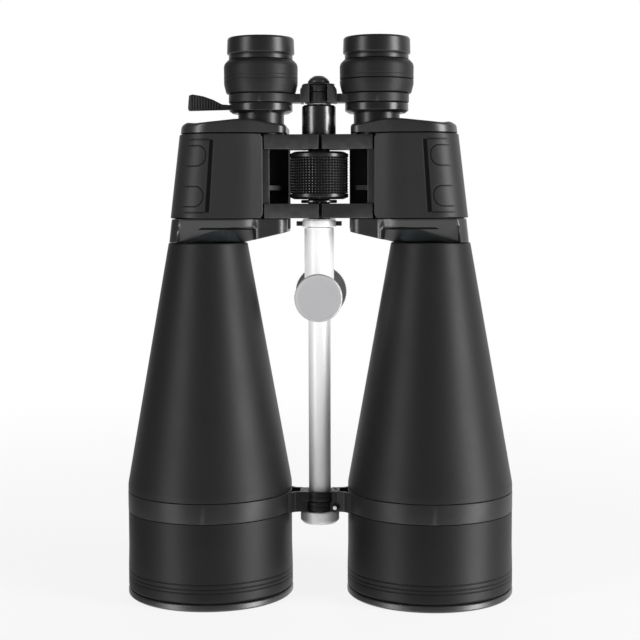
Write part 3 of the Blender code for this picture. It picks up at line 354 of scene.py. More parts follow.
def lying(points: Array) -> Array:
    """Points drawn as (y, height, x) turned so that the slab's thickness runs along X."""
    return np.column_stack([points[:, 2], points[:, 0], points[:, 1]])


def smooth_step(low: float, high: float, values: Array) -> Array:
    """0 below low, 1 above high, and t * t * (3 - 2 * t) between."""
    t = np.clip((values - low) / (high - low), 0, 1)
    return t * t * (3 - 2 * t)


def make_mesh(name: str, *groups: Sequence[Surface]) -> bpy.types.Mesh:
    """One mesh from closed skins, with the points that fell together made one.

    Args:
        name: The mesh's name.
        groups: The skins of each material in turn, in millimetres.

    Returns:
        The mesh, in metres, shaded smooth up to its sharp edges.
    """
    start = 0
    points, faces, groove_shades, numbers = [], [], [], []
    for number, surfaces in enumerate(groups):
        for surface in surfaces:
            plain = np.zeros(len(surface.points))
            groove_shades.append(plain if surface.crease is None else surface.crease)
            points.append(surface.points * MM)
            faces += (surface.quads + start).tolist()
            faces += [[corner + start for corner in cap] for cap in surface.caps]
            numbers += [number] * (len(surface.quads) + len(surface.caps))
            start += len(surface.points)
    mesh = bpy.data.meshes.new(name)
    mesh.from_pydata(np.concatenate(points), [], faces)
    mesh.polygons.foreach_set("material_index", numbers)
    # Each point's painted groove shade is kept as a point attribute that the armour's material reads.
    mesh.attributes.new("crease", "FLOAT", "POINT").data.foreach_set("value", np.concatenate(groove_shades))
    shell = bmesh.new()
    shell.from_mesh(mesh)
    bmesh.ops.remove_doubles(shell, verts=shell.verts, dist=MM * 0.002)
    bmesh.ops.dissolve_degenerate(shell, edges=shell.edges, dist=MM * 0.0005)
    shell.to_mesh(mesh)
    shell.free()
    mesh.shade_smooth()
    mesh.set_sharp_from_angle(angle=math.radians(38))
    return mesh


# Finishes ---------------------------------------------------------------------------------------


class Texture(Enum):
    """What a surface shows close up."""

    POWDER = "powder"
    LEATHER = "leather"
    SATIN = "satin"
    BRUSHED = "brushed"
    BLASTED = "blasted"
    CLEAR = "clear"


@dataclass(frozen=True)
class Finish:
    """How one kind of surface looks.

    The slot is the record's name for it, the grain is in millimetres, the mottle is how far the colour
    strays from its mean, and the wear is how much of the edges is rubbed brighter.
    """

    slot: str
    colour: tuple[float, float, float]
    roughness: float
    texture: Texture
    metallic: float = 0.0
    specular: float = 0.5
    coat: float = 0.0
    coat_roughness: float = 0.15
    grain: float = 0.5
    depth: float = 0.02
    mottle: float = 0.15
    wear: float = 0.0
    film: float = 0.0


FINISHES = {
    "cone_coating": Finish(
        "black_coating", (0.0105, 0.0105, 0.0112), 0.46, Texture.POWDER, specular=0.24,
        grain=0.42, depth=0.035, wear=0.1,
    ),
    "hood_coating": Finish(
        "black_coating", (0.0085, 0.0085, 0.0091), 0.46, Texture.POWDER, specular=0.22,
        grain=0.35, depth=0.012, wear=0.15,
    ),
    "armour": Finish(
        "black_armour", (0.0165, 0.0165, 0.0174), 0.44, Texture.LEATHER, specular=0.32,
        grain=0.55, depth=0.035,
    ),
    "lacquer": Finish(
        "gloss_black", (0.0110, 0.0110, 0.0117), 0.36, Texture.SATIN, specular=0.85, grain=1.2, depth=0.004,
        wear=0.15,
    ),
    # Painted shade: a near-black, dull copy of the gloss black for places that stand in shadow, the housing's
    # core behind the hinge arms and the sleeve under the focus wheel's knurl.
    "recess": Finish(
        "gloss_black", (0.0030, 0.0030, 0.0032), 0.75, Texture.SATIN, specular=0.08, grain=1.2, depth=0.004
    ),
    "cup_rubber": Finish(
        "black_rubber", (0.0095, 0.0095, 0.0100), 0.33, Texture.SATIN, grain=0.4, depth=0.008
    ),
    "lever_rubber": Finish(
        "black_rubber", (0.0300, 0.0300, 0.0310), 0.42, Texture.SATIN, specular=0.45, grain=0.4, depth=0.006
    ),
    "grip_rubber": Finish(
        "black_rubber", (0.0125, 0.0125, 0.0132), 0.46, Texture.POWDER, specular=0.22, grain=0.4, depth=0.015
    ),
    "anodised": Finish(
        "black_metal", (0.0125, 0.0125, 0.0133), 0.42, Texture.POWDER, specular=0.3, grain=0.25, depth=0.010,
        wear=0.35,
    ),
    "polished_black": Finish(
        "black_metal", (0.0085, 0.0085, 0.0090), 0.27, Texture.SATIN, coat=0.12, coat_roughness=0.2,
        grain=0.8, depth=0.002, wear=0.3,
    ),
    "cap_grey": Finish(
        "black_metal", (0.075, 0.075, 0.078), 0.36, Texture.SATIN, metallic=0.6, grain=0.5, depth=0.004
    ),
    "dark_chrome": Finish(
        "dark_chrome", (0.115, 0.112, 0.115), 0.25, Texture.BRUSHED, metallic=1.0, grain=0.25, depth=0.001
    ),
    "silver": Finish(
        "silver", (0.93, 0.93, 0.93), 0.42, Texture.BRUSHED, metallic=0.12,
        grain=0.20, depth=0.002, mottle=0.03,
    ),
    "blasted_silver": Finish(
        "brushed_silver", (0.52, 0.52, 0.53), 0.55, Texture.BLASTED, metallic=0.7, grain=0.22, depth=0.02
    ),
    "glass": Finish("glass", (0.82, 0.92, 0.95), 0.02, Texture.CLEAR, film=360.0),
    "spring_steel": Finish(
        "spring_steel", (0.45, 0.45, 0.46), 0.32, Texture.BRUSHED, metallic=1.0, grain=0.3, depth=0.002
    ),
}


class Workshop:
    """Makes every material once, with the shader groups that they share."""

    def __init__(self) -> None:
        """Makes the groups, and a material for each finish."""
        self.grain = self.make_grain_group()
        self.wear = self.make_wear_group()
        self.cloud = self.make_cloud_group()
        self.materials = {name: self.make(name, finish) for name, finish in FINISHES.items()}

    @staticmethod
    def new_group(
        name: str, inputs: dict[str, float | None], outputs: Sequence[str]
    ) -> tuple[bpy.types.NodeTree, bpy.types.Node, bpy.types.Node]:
        """An empty shader group.

        Args:
            name: The group's name.
            inputs: Each input's starting value, or None for a vector.
            outputs: The names of its number outputs.

        Returns:
            The group, its input node and its output node.
        """
        group = bpy.data.node_groups.new(name, "ShaderNodeTree")
        for label, value in inputs.items():
            kind = "NodeSocketVector" if value is None else "NodeSocketFloat"
            socket = group.interface.new_socket(name=label, in_out="INPUT", socket_type=kind)
            if value is not None:
                socket.default_value = value
        for label in outputs:
            group.interface.new_socket(name=label, in_out="OUTPUT", socket_type="NodeSocketFloat")
        return group, group.nodes.new("NodeGroupInput"), group.nodes.new("NodeGroupOutput")

    @staticmethod
    def math_node(
        tree: bpy.types.NodeTree, operation: str, *values: bpy.types.NodeSocket | float
    ) -> bpy.types.NodeSocket:
        """A Math node's output.

        Args:
            tree: Where the node goes.
            operation: Blender's name for the sum.
            values: Sockets to link, or numbers to set.

        Returns:
            The node's output socket.
        """
        node = tree.nodes.new("ShaderNodeMath")
        node.operation = operation
        for socket, value in zip(node.inputs, values):
            if isinstance(value, bpy.types.NodeSocket):
                tree.links.new(value, socket)
            else:
                socket.default_value = value
        return node.outputs[0]

    def make_grain_group(self) -> bpy.types.NodeTree:
        """Fine relief: cells and noise at one scale, blended by how round the grains are."""
        group, start, end = self.new_group(
            "fine_grain", {"Vector": None, "Scale": 1000.0, "Cells": 0.5}, ["Height"]
        )
        cells = group.nodes.new("ShaderNodeTexVoronoi")
        noise = group.nodes.new("ShaderNodeTexNoise")
        noise.inputs["Detail"].default_value = 3.0
        for node in (cells, noise):
            group.links.new(start.outputs["Vector"], node.inputs["Vector"])
            group.links.new(start.outputs["Scale"], node.inputs["Scale"])
        by_cells = self.math_node(group, "MULTIPLY", cells.outputs["Distance"], start.outputs["Cells"])
        rest = self.math_node(group, "SUBTRACT", 1.0, start.outputs["Cells"])
        by_noise = self.math_node(group, "MULTIPLY", noise.outputs["Fac"], rest)
        group.links.new(self.math_node(group, "ADD", by_cells, by_noise), end.inputs["Height"])
        return group

    def make_wear_group(self) -> bpy.types.NodeTree:
        """A mask of rubbed edges: convex places, broken up by noise."""
        group, start, end = self.new_group("edge_wear", {"Vector": None, "Amount": 0.3}, ["Mask"])
        geometry = group.nodes.new("ShaderNodeNewGeometry")
        noise = group.nodes.new("ShaderNodeTexNoise")
        noise.inputs["Scale"].default_value = 240.0
        noise.inputs["Detail"].default_value = 4.0
        group.links.new(start.outputs["Vector"], noise.inputs["Vector"])
        rise = self.math_node(group, "SUBTRACT", geometry.outputs["Pointiness"], 0.52)
        steep = self.math_node(group, "MULTIPLY", rise, 14.0)
        broken = self.math_node(group, "MULTIPLY", steep, noise.outputs["Fac"])
        scaled = self.math_node(group, "MULTIPLY", broken, start.outputs["Amount"])
        low = self.math_node(group, "MAXIMUM", scaled, 0.0)
        group.links.new(self.math_node(group, "MINIMUM", low, 1.0), end.inputs["Mask"])
        return group

    def make_cloud_group(self) -> bpy.types.NodeTree:
        """Slow unevenness of a handled surface: -1 to 1, from two noises of different size."""
        group, start, end = self.new_group("handling", {"Vector": None, "Amount": 0.1}, ["Value"])
        total = None
        for scale, weight in ((45.0, 1.2), (420.0, 0.8)):
            noise = group.nodes.new("ShaderNodeTexNoise")
            noise.inputs["Scale"].default_value = scale
            noise.inputs["Detail"].default_value = 2.0
            group.links.new(start.outputs["Vector"], noise.inputs["Vector"])
            centred = self.math_node(group, "SUBTRACT", noise.outputs["Fac"], 0.5)
            part = self.math_node(group, "MULTIPLY", centred, weight)
            total = part if total is None else self.math_node(group, "ADD", total, part)
        scaled = self.math_node(group, "MULTIPLY", total, start.outputs["Amount"])
        group.links.new(scaled, end.inputs["Value"])
        return group

    def use(
        self,
        tree: bpy.types.NodeTree,
        group: bpy.types.NodeTree,
        vector: bpy.types.NodeSocket,
        **values: float,
    ) -> bpy.types.NodeSocket:
        """A group placed in a material.

        Args:
            tree: The material's nodes.
            group: The shared group.
            vector: Where the pattern is read.
            values: The group's own settings by name.

        Returns:
            The group's output socket.
        """
        node = tree.nodes.new("ShaderNodeGroup")
        node.node_tree = group
        tree.links.new(vector, node.inputs["Vector"])
        for label, value in values.items():
            node.inputs[label].default_value = value
        return node.outputs[0]

    def make(self, name: str, finish: Finish) -> bpy.types.Material:
        """The material of one finish.

        Args:
            name: The material's name.
            finish: What it looks like.

        Returns:
            The material.
        """
        material = bpy.data.materials.new(name)
        material.use_nodes = True
        tree = material.node_tree
        shader = tree.nodes["Principled BSDF"]
        shader.inputs["Base Color"].default_value = (*finish.colour, 1.0)
        shader.inputs["Metallic"].default_value = finish.metallic
        shader.inputs["Roughness"].default_value = finish.roughness
        shader.inputs["Specular IOR Level"].default_value = finish.specular
        shader.inputs["Coat Weight"].default_value = finish.coat
        shader.inputs["Coat Roughness"].default_value = finish.coat_roughness
        place = tree.nodes.new("ShaderNodeTexCoord").outputs["Object"]
        cloud = self.use(tree, self.cloud, place, Amount=finish.mottle)
        if finish.texture is Texture.CLEAR:
            shader.inputs["Transmission Weight"].default_value = 1.0
            shader.inputs["IOR"].default_value = 1.52
            shader.inputs["Thin Film Thickness"].default_value = finish.film
            smudge = self.math_node(tree, "MULTIPLY", self.math_node(tree, "ABSOLUTE", cloud), 0.3)
            tree.links.new(
                self.math_node(tree, "ADD", smudge, finish.roughness), shader.inputs["Roughness"]
            )
            return material
        if finish.texture is Texture.BRUSHED:
            stretch = tree.nodes.new("ShaderNodeMapping")
            stretch.inputs["Scale"].default_value = (1.0, 1.0, 0.04)
            tree.links.new(place, stretch.inputs["Vector"])
            fine = stretch.outputs["Vector"]
        else:
            fine = place
        cells = {Texture.LEATHER: 0.8, Texture.POWDER: 0.35, Texture.BLASTED: 0.5}.get(finish.texture, 0.1)
        height = self.use(tree, self.grain, fine, Scale=1 / (finish.grain * MM), Cells=cells)
        bump = tree.nodes.new("ShaderNodeBump")
        bump.inputs["Strength"].default_value = 1.0
        bump.inputs["Distance"].default_value = finish.depth * MM
        tree.links.new(height, bump.inputs["Height"])
        tree.links.new(bump.outputs["Normal"], shader.inputs["Normal"])
        rough = self.math_node(tree, "MULTIPLY_ADD", cloud, 0.6, finish.roughness)
        tree.links.new(rough, shader.inputs["Roughness"])
        shade = tree.nodes.new("ShaderNodeMix")
        shade.data_type = "RGBA"
        base = np.array(finish.colour)
        shade.inputs["A"].default_value = (*(base * (1 - finish.mottle)), 1.0)
        shade.inputs["B"].default_value = (*(base * (1 + finish.mottle)), 1.0)
        tree.links.new(height, shade.inputs["Factor"])
        colour = shade.outputs["Result"]
        if finish.texture is Texture.LEATHER:
            # Painted shade: the grooves and tab lines are darkened to 0.12 of the colour and lose specular,
            # standing for the shade that falls in them.
            lines = tree.nodes.new("ShaderNodeAttribute")
            lines.attribute_name = "crease"
            deep = tree.nodes.new("ShaderNodeMix")
            deep.data_type = "RGBA"
            deep.inputs["B"].default_value = (*(base * 0.12), 1.0)
            tree.links.new(lines.outputs["Fac"], deep.inputs["Factor"])
            tree.links.new(colour, deep.inputs["A"])
            colour = deep.outputs["Result"]
            shine = finish.specular
            dull = self.math_node(tree, "MULTIPLY_ADD", lines.outputs["Fac"], -shine, shine)
            tree.links.new(dull, shader.inputs["Specular IOR Level"])
        if finish.wear > 0:
            rubbed = tree.nodes.new("ShaderNodeMix")
            rubbed.data_type = "RGBA"
            rubbed.inputs["B"].default_value = (*np.minimum(base * 4 + 0.05, 0.9), 1.0)
            tree.links.new(colour, rubbed.inputs["A"])
            mask = self.use(tree, self.wear, place, Amount=finish.wear)
            tree.links.new(mask, rubbed.inputs["Factor"])
            colour = rubbed.outputs["Result"]
        tree.links.new(colour, shader.inputs["Base Color"])
        return material


class Bench:
    """Where pieces are put together: it knows the model, the materials and each node's body."""

    def __init__(self, frame: dict[str, object]) -> None:
        """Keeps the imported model.
        """
        self.workshop = Workshop()
        self.nodes = frame["nodes"]
        bodies = frame["record"]["behaviour"]["bodies"]
        self.body_of = {node: body for body, nodes in bodies.items() for node in nodes}

    def add(
        self,
        node: str,
        surfaces: Sequence[Surface],
        finish: str,
        name: str | None = None,
        extra: dict[str, Sequence[Surface]] | None = None,
    ) -> bpy.types.Object:
        """Puts a piece in the scene, in place of a node or beside it.

        Args:
            node: The node that the piece stands for, or rides with when it has a name of its own.
            surfaces: Its closed skins.
            finish: Which finish it has.
            name: The name of an extra piece, which hides no node.
            extra: Skins of the same piece with other finishes.

        Returns:
            The new object.
        """
        label = name or f"{node}_shape"
        groups = {finish: surfaces, **(extra or {})}
        mesh = make_mesh(label, *groups.values())
        for used in groups:
            mesh.materials.append(self.workshop.materials[used])
        piece = bpy.data.objects.new(label, mesh)
        bpy.context.scene.collection.objects.link(piece)
        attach(piece, self.body_of[node])
        if name is None:
            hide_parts(node)
        LOG.info("%s: %d faces, %s", label, len(mesh.polygons), finish)
        return piece

    def dress(self, node: str, finish: str) -> None:
        """Gives a node that stays a finish.

        Args:
            node: The node's name.
            finish: Which finish it has.
        """
        mesh = self.nodes[node].data
        mesh.materials.clear()
        mesh.materials.append(self.workshop.materials[finish])
        LOG.info("%s: kept, %s", node, finish)


# One barrel -------------------------------------------------------------------------------------


@dataclass
class Objective:
    """The glass end of a barrel: rim, hood, front lens and cone; the band of the front bridge is made with
    the bridge.
    """

    side: Side
    hood_wall: float = 2.4
    hood_flare: float = 0.35
    rim_opening: float = 39.5
    grooves: tuple[float, ...] = (5.9, 8.0, 10.6)
    groove_half: float = 0.5
    cone_top_radius: float = 22.1
    cone_bend: float = 14.0
    band_wall: float = 1.4

    def build(self, bench: Bench) -> None:
        """Makes each piece.

        Args:
            bench: Where they go.
        """
        hood = Box.of(self.side.node("objective_hood"))
        self.centre = (abs(float(hood.middle[0])), 0.0)
        self.make_rim(bench)
        self.make_hood(bench, hood)
        self.make_cone(bench, hood)
        self.make_lenses(bench)

    def round(self, corners: Sequence[Corner], segments: int = 144, fillet: float = 0.25) -> Surface:
        """A profile turned about this barrel's axis.

        Args:
            corners: The profile.
            segments: Facets round the axis.
            fillet: Radius of plain corners.

        Returns:
            The skin on its own side.
        """
        return turned(corners, self.centre, segments=segments, fillet=fillet).on(self.side)

    def make_rim(self, bench: Bench) -> None:
        """The flange that the object stands on; the two threads inside it are not drawn."""
        box = Box.of(self.side.node("objective_rim"))
        radius, top, opening = box.radius, box.top, self.rim_opening
        profile = [
            (radius - 0.5, top, 0.5),
            (radius, top - 0.6, 0.3),
            (radius, 0.9, 0.5),
            (radius - 0.9, 0, 0.4),
            (opening + 1.2, 0, 0.3),
            (opening, 1.2, 0.2),
            (opening, top, 0.2),
        ]
        bench.add(self.side.node("objective_rim"), [self.round(profile)], "lacquer")

    def make_hood(self, bench: Bench, box: Box) -> None:
        """The hood: a tube with fine grooves round its foot and baffle steps inside.

        Args:
            bench: Where it goes.
            box: The hood's own box.
        """
        radius, low, high = box.radius, box.bottom, box.top
        inner = radius - self.hood_wall
        profile: list[Corner] = [(radius, high, 0.2), (radius, low + 24, 8.0)]
        radius += self.hood_flare
        for rise in sorted(self.grooves, reverse=True):
            z, half = low + rise, self.groove_half
            profile += [(radius, z + half, 0.15), (radius - half, z, 0.1), (radius, z - half, 0.15)]
        seat = Box.of(self.side.node("objective_crown_lens")).bottom + 2.0
        profile += [(radius, low + 1.2, 0.8), (radius - 0.8, low, 0.2), (inner - 1.5, low)]
        for z in np.arange(low + 4, seat - 6, 5.0):
            profile += [(inner - 1.5, z), (inner - 1.0, z), (inner - 1.0, z + 2.2), (inner - 1.5, z + 2.4)]
        profile += [
            (inner - 1.5, seat - 1.5),
            (self.rim_opening, seat - 1.5),
            (self.rim_opening, seat - 0.3),
            (inner, seat - 0.3),
            (inner, high),
        ]
        bench.add(self.side.node("objective_hood"), [self.round(profile, fillet=0.12)], "hood_coating")

    def make_cone(self, bench: Bench, hood: Box) -> None:
        """The long cone, with a soft bend where it leaves the band.

        Args:
            bench: Where it goes.
            hood: The hood's box, whose radius the cone's foot has.
        """
        box = Box.of(self.side.node("barrel_cone"))
        foot = hood.top + 11.4
        bend = foot + 3.8
        spigot = hood.radius + 0.1 - self.band_wall - 0.3
        wall = 1.8
        profile = [
            (self.cone_top_radius - 0.5, box.top, 0.2),
            (self.cone_top_radius, box.top - 0.6, 0.4),
            (hood.radius, bend, self.cone_bend),
            (hood.radius, foot, 0.35),
            (spigot, foot),
            (spigot, box.bottom),
            (spigot - wall, box.bottom),
            (spigot - wall, bend),
            (self.cone_top_radius - wall, box.top - 4),
            (self.cone_top_radius - wall, box.top),
        ]
        skin = turned(profile, self.centre, segments=160, fillet=0.2, steps=6).on(self.side)
        bench.add(self.side.node("barrel_cone"), [skin], "cone_coating")

    def make_lenses(self, bench: Bench) -> None:
        """Both front glasses as true spherical caps: h = sag * (1 - (r / R) squared)."""
        for part, up, down in (("objective_crown_lens", 1.4, 3.4), ("objective_flint_lens", 1.0, -2.0)):
            box = Box.of(self.side.node(part))
            edge_top = box.top - up
            edge_bottom = box.bottom + max(down, 0)
            share = np.linspace(0, 1, 14)
            top = [(box.radius * s, edge_top + up * (1 - s * s), 0) for s in share]
            bottom = [(box.radius * s, edge_bottom - down * (1 - s * s), 0) for s in share[::-1]]
            bench.add(self.side.node(part), [self.round(top + bottom, 96, 0)], "glass")


@dataclass
class FrontBridge:
    """The band round a barrel's front, its open arm, and the ring that turns on the rod."""

    side: Side
    ring_radius: float = 9.1
    rod_radius: float = 6.2
    half_width: float = 6.8
    flare: float = 13.0
    wall: float = 2.0
    reach: float = 18.4

    def build(self, bench: Bench) -> None:
        """Makes the bridge as one piece, and the small screw on the right ring.

        Args:
            bench: Where it goes.
        """
        hood = Box.of(self.side.node("objective_hood"))
        centre = (abs(float(hood.middle[0])), 0.0)
        radius = hood.radius + 0.1
        low, high = hood.top + 0.3, hood.top + 11.1
        band = [
            (radius, high, 0.35),
            (radius, low, 0.35),
            (radius - 1.4, low),
            (radius - 1.4, high),
        ]
        near = centre[0] - radius
        arm_low, arm_high = low - 1.3, high - 0.8
        skins = [turned(band, centre, segments=160, fillet=0.2)]
        for y in (-1, 1):
            skins.append(self.make_wall(near, y, arm_low, arm_high))
        lower, upper = (low - 1.0, low + 4.2), (low + 4.5, low + 9.9)
        ring, other = (lower, upper) if self.side is Side.RIGHT else (upper, lower)
        clear = self.ring_radius + 0.5
        skins.append(self.make_block(self.ring_radius - 0.7, max(ring[0], arm_low), min(ring[1], arm_high)))
        skins.append(
            self.make_block(clear, max(other[0] - 0.3, arm_low), min(other[1] + 0.3, arm_high))
        )
        bore = self.rod_radius + 0.3
        middle = (ring[0] + ring[1]) / 2
        skins.append(
            turned(
                [
                    (self.ring_radius, ring[1], 0.5),
                    (self.ring_radius, middle + 0.35, 0.15),
                    (self.ring_radius - 0.3, middle, 0.1),
                    (self.ring_radius, middle - 0.35, 0.15),
                    (self.ring_radius, ring[0], 0.5),
                    (bore, ring[0]),
                    (bore, ring[1]),
                ],
                segments=72,
            )
        )
        bench.add(
            self.side.node("front_bridge"), [skin.on(self.side) for skin in skins], "anodised"
        )
        if self.side is Side.RIGHT:
            self.make_screw(bench, middle - 0.4)

    def make_screw(self, bench: Bench, z: float) -> None:
        """The small bright screw that tightens the lower ring, in its boss.

        Args:
            bench: Where it goes.
            z: Height of its axis.
        """
        at = (self.ring_radius - 0.5, z)
        boss = [(0, -8.6), (1.9, -8.6, 0.4), (1.9, -3.0), (0, -3.0)]
        head = [(0, -8.9), (1.1, -8.9, 0.3), (1.1, -8.0), (0, -8.0)]
        bench.add("right_front_bridge", [turned(boss, at, Axis.Y, 32)], "anodised", "front_screw_boss")
        bench.add("right_front_bridge", [turned(head, at, Axis.Y, 32)], "silver", "front_screw")

    def make_wall(self, near: float, way: int, low: float, high: float) -> Surface:
        """One of the arm's two walls, which spread as they reach the band.

        Args:
            near: How far from the hinge axis the band begins.
            way: -1 for the front wall, 1 for the rear one.
            low: Height of its underside.
            high: Height of its top.

        Returns:
            The skin.
        """
        half, flare, wall = self.half_width, self.flare, self.wall
        corners = [
            (self.ring_radius + 0.5, way * half, 0.6),
            (near - 2, way * (half + 1.0), 2.0),
            (self.reach, way * flare, 0.2),
            (self.reach, way * (flare - wall - 0.6), 0.2),
            (near - 1, way * (half - wall + 0.8), 2.0),
            (self.ring_radius + 0.5, way * (half - wall), 0.6),
        ]
        return slab(corners if way < 0 else corners[::-1], low, high, 0.3)

    def make_block(self, inner: float, low: float, high: float) -> Surface:
        """The arm's inner end at one level, hollowed round what turns there.

        Args:
            inner: Radius of the hollow.
            low: Height of its underside.
            high: Height of its top.

        Returns:
            The skin.
        """
        half = self.half_width
        outer = self.ring_radius + self.wall
        spread = math.asin(min(half / inner, 1.0))
        arc = [(inner * math.cos(a), inner * math.sin(a), 0.0) for a in np.linspace(spread, -spread, 13)]
        return slab([*arc, (outer, -half, 0.5), (outer, half, 0.5)], low, high, 0.2)


@dataclass
class Housing:
    """The prism housing with its hinge arms, rubber armour and cover plate."""

    side: Side
    lean: float = 5.6
    end_radius: float = 20.6
    edge_y: float = -16.0
    rear_y: float = 33.0
    inner_x: float = 17.0
    armour_x: float = 30.0
    armour_wall: float = 2.0
    bend_x: float = 42.5
    groove_depth: float = 0.22
    panel_margin: float = 3.3
    tab_height: float = 11.0
    tab_offset: float = 6.5
    tab_spacing: float = 22.0
    split: dict[int, float] = field(default_factory=lambda: {-1: -0.1, 1: 1.9})

    def build(self, bench: Bench) -> None:
        """Makes each piece.

        Args:
            bench: Where they go.
        """
        self.armour = Box.of(self.side.node("armour"))
        self.low, self.high = self.armour.bottom, self.armour.top
        self.axis_x = abs(float(Box.of(self.side.node("objective_hood")).middle[0]))
        self.outer_x = self.axis_x + self.end_radius + 0.1
        self.make_casting(bench)
        self.make_armour(bench)
        self.make_cover(bench)

    def leaning(self, points: Array) -> Array:
        """Moves points inwards by the lean, times their share of the height and of the width."""
        share = (points[:, 2] - self.low) / (self.high - self.low)
        outward = np.maximum(points[:, 0] - self.armour_x, 0) / (self.outer_x - self.armour_x)
        return np.column_stack([points[:, 0] - self.lean * share * outward, points[:, 1], points[:, 2]])

    def armour_corners(self) -> list[Corner]:
        """The armour's outside, counter-clockwise from the edge beside the hinge arms."""
        return [
            (self.armour_x, self.edge_y, 0.8),
            (self.bend_x, -self.end_radius, 64.0),
            (self.outer_x, -self.end_radius, self.end_radius - 1.0),
            (self.outer_x, self.rear_y, 24.0),
            (self.armour_x, self.rear_y, 0.8),
        ]

    def plan_corners(self) -> list[Corner]:
        """The plan of the shoulder and the cover plate, which reach in to the focus wheel."""
        return [
            (self.inner_x, self.edge_y + 0.3, 6.5),
            (self.bend_x, -self.end_radius, 60.0),
            (self.outer_x, -self.end_radius, self.end_radius - 1.0),
            (self.outer_x, self.rear_y, 24.0),
            (self.inner_x, self.rear_y, 7.0),
        ]

    def make_casting(self, bench: Bench) -> None:
        """The casting: core, shoulder, two arms and their knuckles."""
        cast = inset(self.armour_corners(), self.armour_wall + 0.3)
        edge = self.edge_y + self.armour_wall
        core = [
            (self.inner_x, -4.0, 1.5),
            (self.inner_x + 10, -4.0, 0.3),
            (self.inner_x + 10, edge, 0.5),
            (cast[1][0] - 6.5, edge, 0.5),
            cast[1],
            cast[2],
            cast[3],
            (self.inner_x, cast[3][1], 6.0),
        ]
        casting = Box.of(self.side.node("prism_housing"))
        core_skin = slab(core, casting.bottom + 7, self.high, 0.5, self.leaning)
        skins = [self.make_shoulder(casting.bottom, self.low - 0.3)]
        arms = [*self.make_arm(self.low, self.low + 8.0), *self.make_arm(self.high - 8.4, self.high - 0.5)]
        strip = [
            (self.inner_x + 9.8, edge - 0.1, 0.3),
            (cast[1][0] - 6.0, edge - 0.1, 0.3),
            (cast[1][0] - 6.0, edge + 1.5, 0),
            (self.inner_x + 9.8, edge + 1.5, 0),
        ]
        bench.add(
            self.side.node("prism_housing"),
            [skin.on(self.side) for skin in [*skins, slab(strip, self.low + 8, self.high - 8.2, 0.2)]],
            "lacquer",
            # The core behind the arms takes the painted shade finish, darker and duller than the lacquer
            # round it.
            extra={"recess": [core_skin.on(self.side)], "anodised": [skin.on(self.side) for skin in arms]},
        )

    def make_shoulder(self, low: float, high: float) -> Surface:
        """The shoulder between the cone and the armour.

        Its front is a facet that draws back by a third of the drop. Under an arch that climbs towards the
        hinge, by arch * sin(90 degrees * share of the way), the front draws back by as much again as it
        falls. The underside climbs towards the hinge.

        Args:
            low: Height of the underside over the cone.
            high: Height of the top.

        Returns:
            The skin.
        """
        start_x = self.axis_x - 21.0
        end_x = self.outer_x - 1.4
        plan = [
            (self.inner_x, self.edge_y + 0.6, 6.5),
            (32.4, self.edge_y + 0.2, 0.1),
            (33.0, self.edge_y + 0.7, 0.1),
            (self.bend_x, 0.3 - self.end_radius, 20.0),
            (end_x - 6.0, 0.3 - self.end_radius, 1.2),
            (end_x, -self.end_radius + 7.0, 11.0),
            (end_x, self.rear_y, 24.0),
            (self.inner_x, self.rear_y, 7.0),
        ]
        levels = np.concatenate([[0, 0.015, 0.04, 0.08], np.linspace(0.12, 0.9, 22), [0.95, 0.98, 1.0]])
        outline = rounded(inset(plan, 0.3), 0, 14)
        dense = [outline[:1]]
        for here, there in zip(outline, np.roll(outline, -1, axis=0)):
            count = max(int(np.linalg.norm(there - here) / 0.8), 1)
            dense.append(here + (there - here) * (np.arange(1, count + 1) / count)[:, None])
        outline = np.concatenate(dense)[:-1]
        centre = outline.mean(axis=0)
        climb = np.clip((start_x - outline[:, 0]) / (start_x - self.inner_x), 0, 1)
        foot = low + 5.6 * climb
        rings = []
        for share in levels:
            near_rim = min(share, 1 - share) * (high - low)
            shrink = 0.5 * max(0.0, 1 - near_rim / 0.6) ** 2
            reach = np.linalg.norm(outline - centre, axis=1)
            kept = centre + (outline - centre) * (1 - shrink / reach)[:, None]
            rings.append(np.column_stack([kept, foot + share * (high - foot)]))
        points = np.array(rings)
        x, y, z = points[..., 0], points[..., 1], points[..., 2]
        front = smooth_step(13.0, 15.0, -y) * smooth_step(34.0, 36.0, x)
        front = front * (1 - smooth_step(end_x - 6.5, end_x - 5.4, x))
        way = np.clip((self.axis_x + 8.0 - x) / 24.0, 0, 1)
        arch = low + 8.4 * np.sin(way * math.pi / 2)
        points[..., 1] = y + front * (0.36 * (high - z) + 0.9 * np.maximum(arch - z, 0))
        return stacked(points, self.leaning)

    def make_arm(self, low: float, high: float) -> list[Surface]:
        """A hinge arm: a block hollowed round the knuckles, and its own knuckle in half the height.

        Args:
            low: Height of its underside.
            high: Height of its top.

        Returns:
            The skins.
        """
        front, rear, gap, knuckle = self.edge_y + 0.5, 8.0, 0.3, 9.0
        clear = knuckle + 0.6
        split = self.split[self.side.value]
        start = -math.acos(split / clear)
        end = math.asin(rear / clear)
        arc = [(clear * math.cos(a), clear * math.sin(a), 0.0) for a in np.linspace(end, start, 16)]
        outer = self.armour_x - gap
        corners = [*arc, (split, front, 0.4), (outer, front, 0.3), (outer, rear, 0.6)]
        middle = (low + high) / 2
        own = (middle + gap / 2, high) if self.side is Side.LEFT else (low, middle - gap / 2)
        ring = [(knuckle, own[1]), (knuckle, own[0]), (6.3, own[0]), (6.3, own[1])]
        tie = [
            (knuckle * 0.6, -knuckle * 0.7, 0),
            (knuckle + 2, -knuckle * 0.7, 0),
            (knuckle + 2, knuckle * 0.7, 0),
            (knuckle * 0.6, knuckle * 0.7, 0),
        ]
        return [
            slab(corners, low, high, 0.35),
            turned(ring, segments=72),
            slab(tie, own[0] + 0.1, own[1] - 0.1, 0.1, steps=1),
        ]

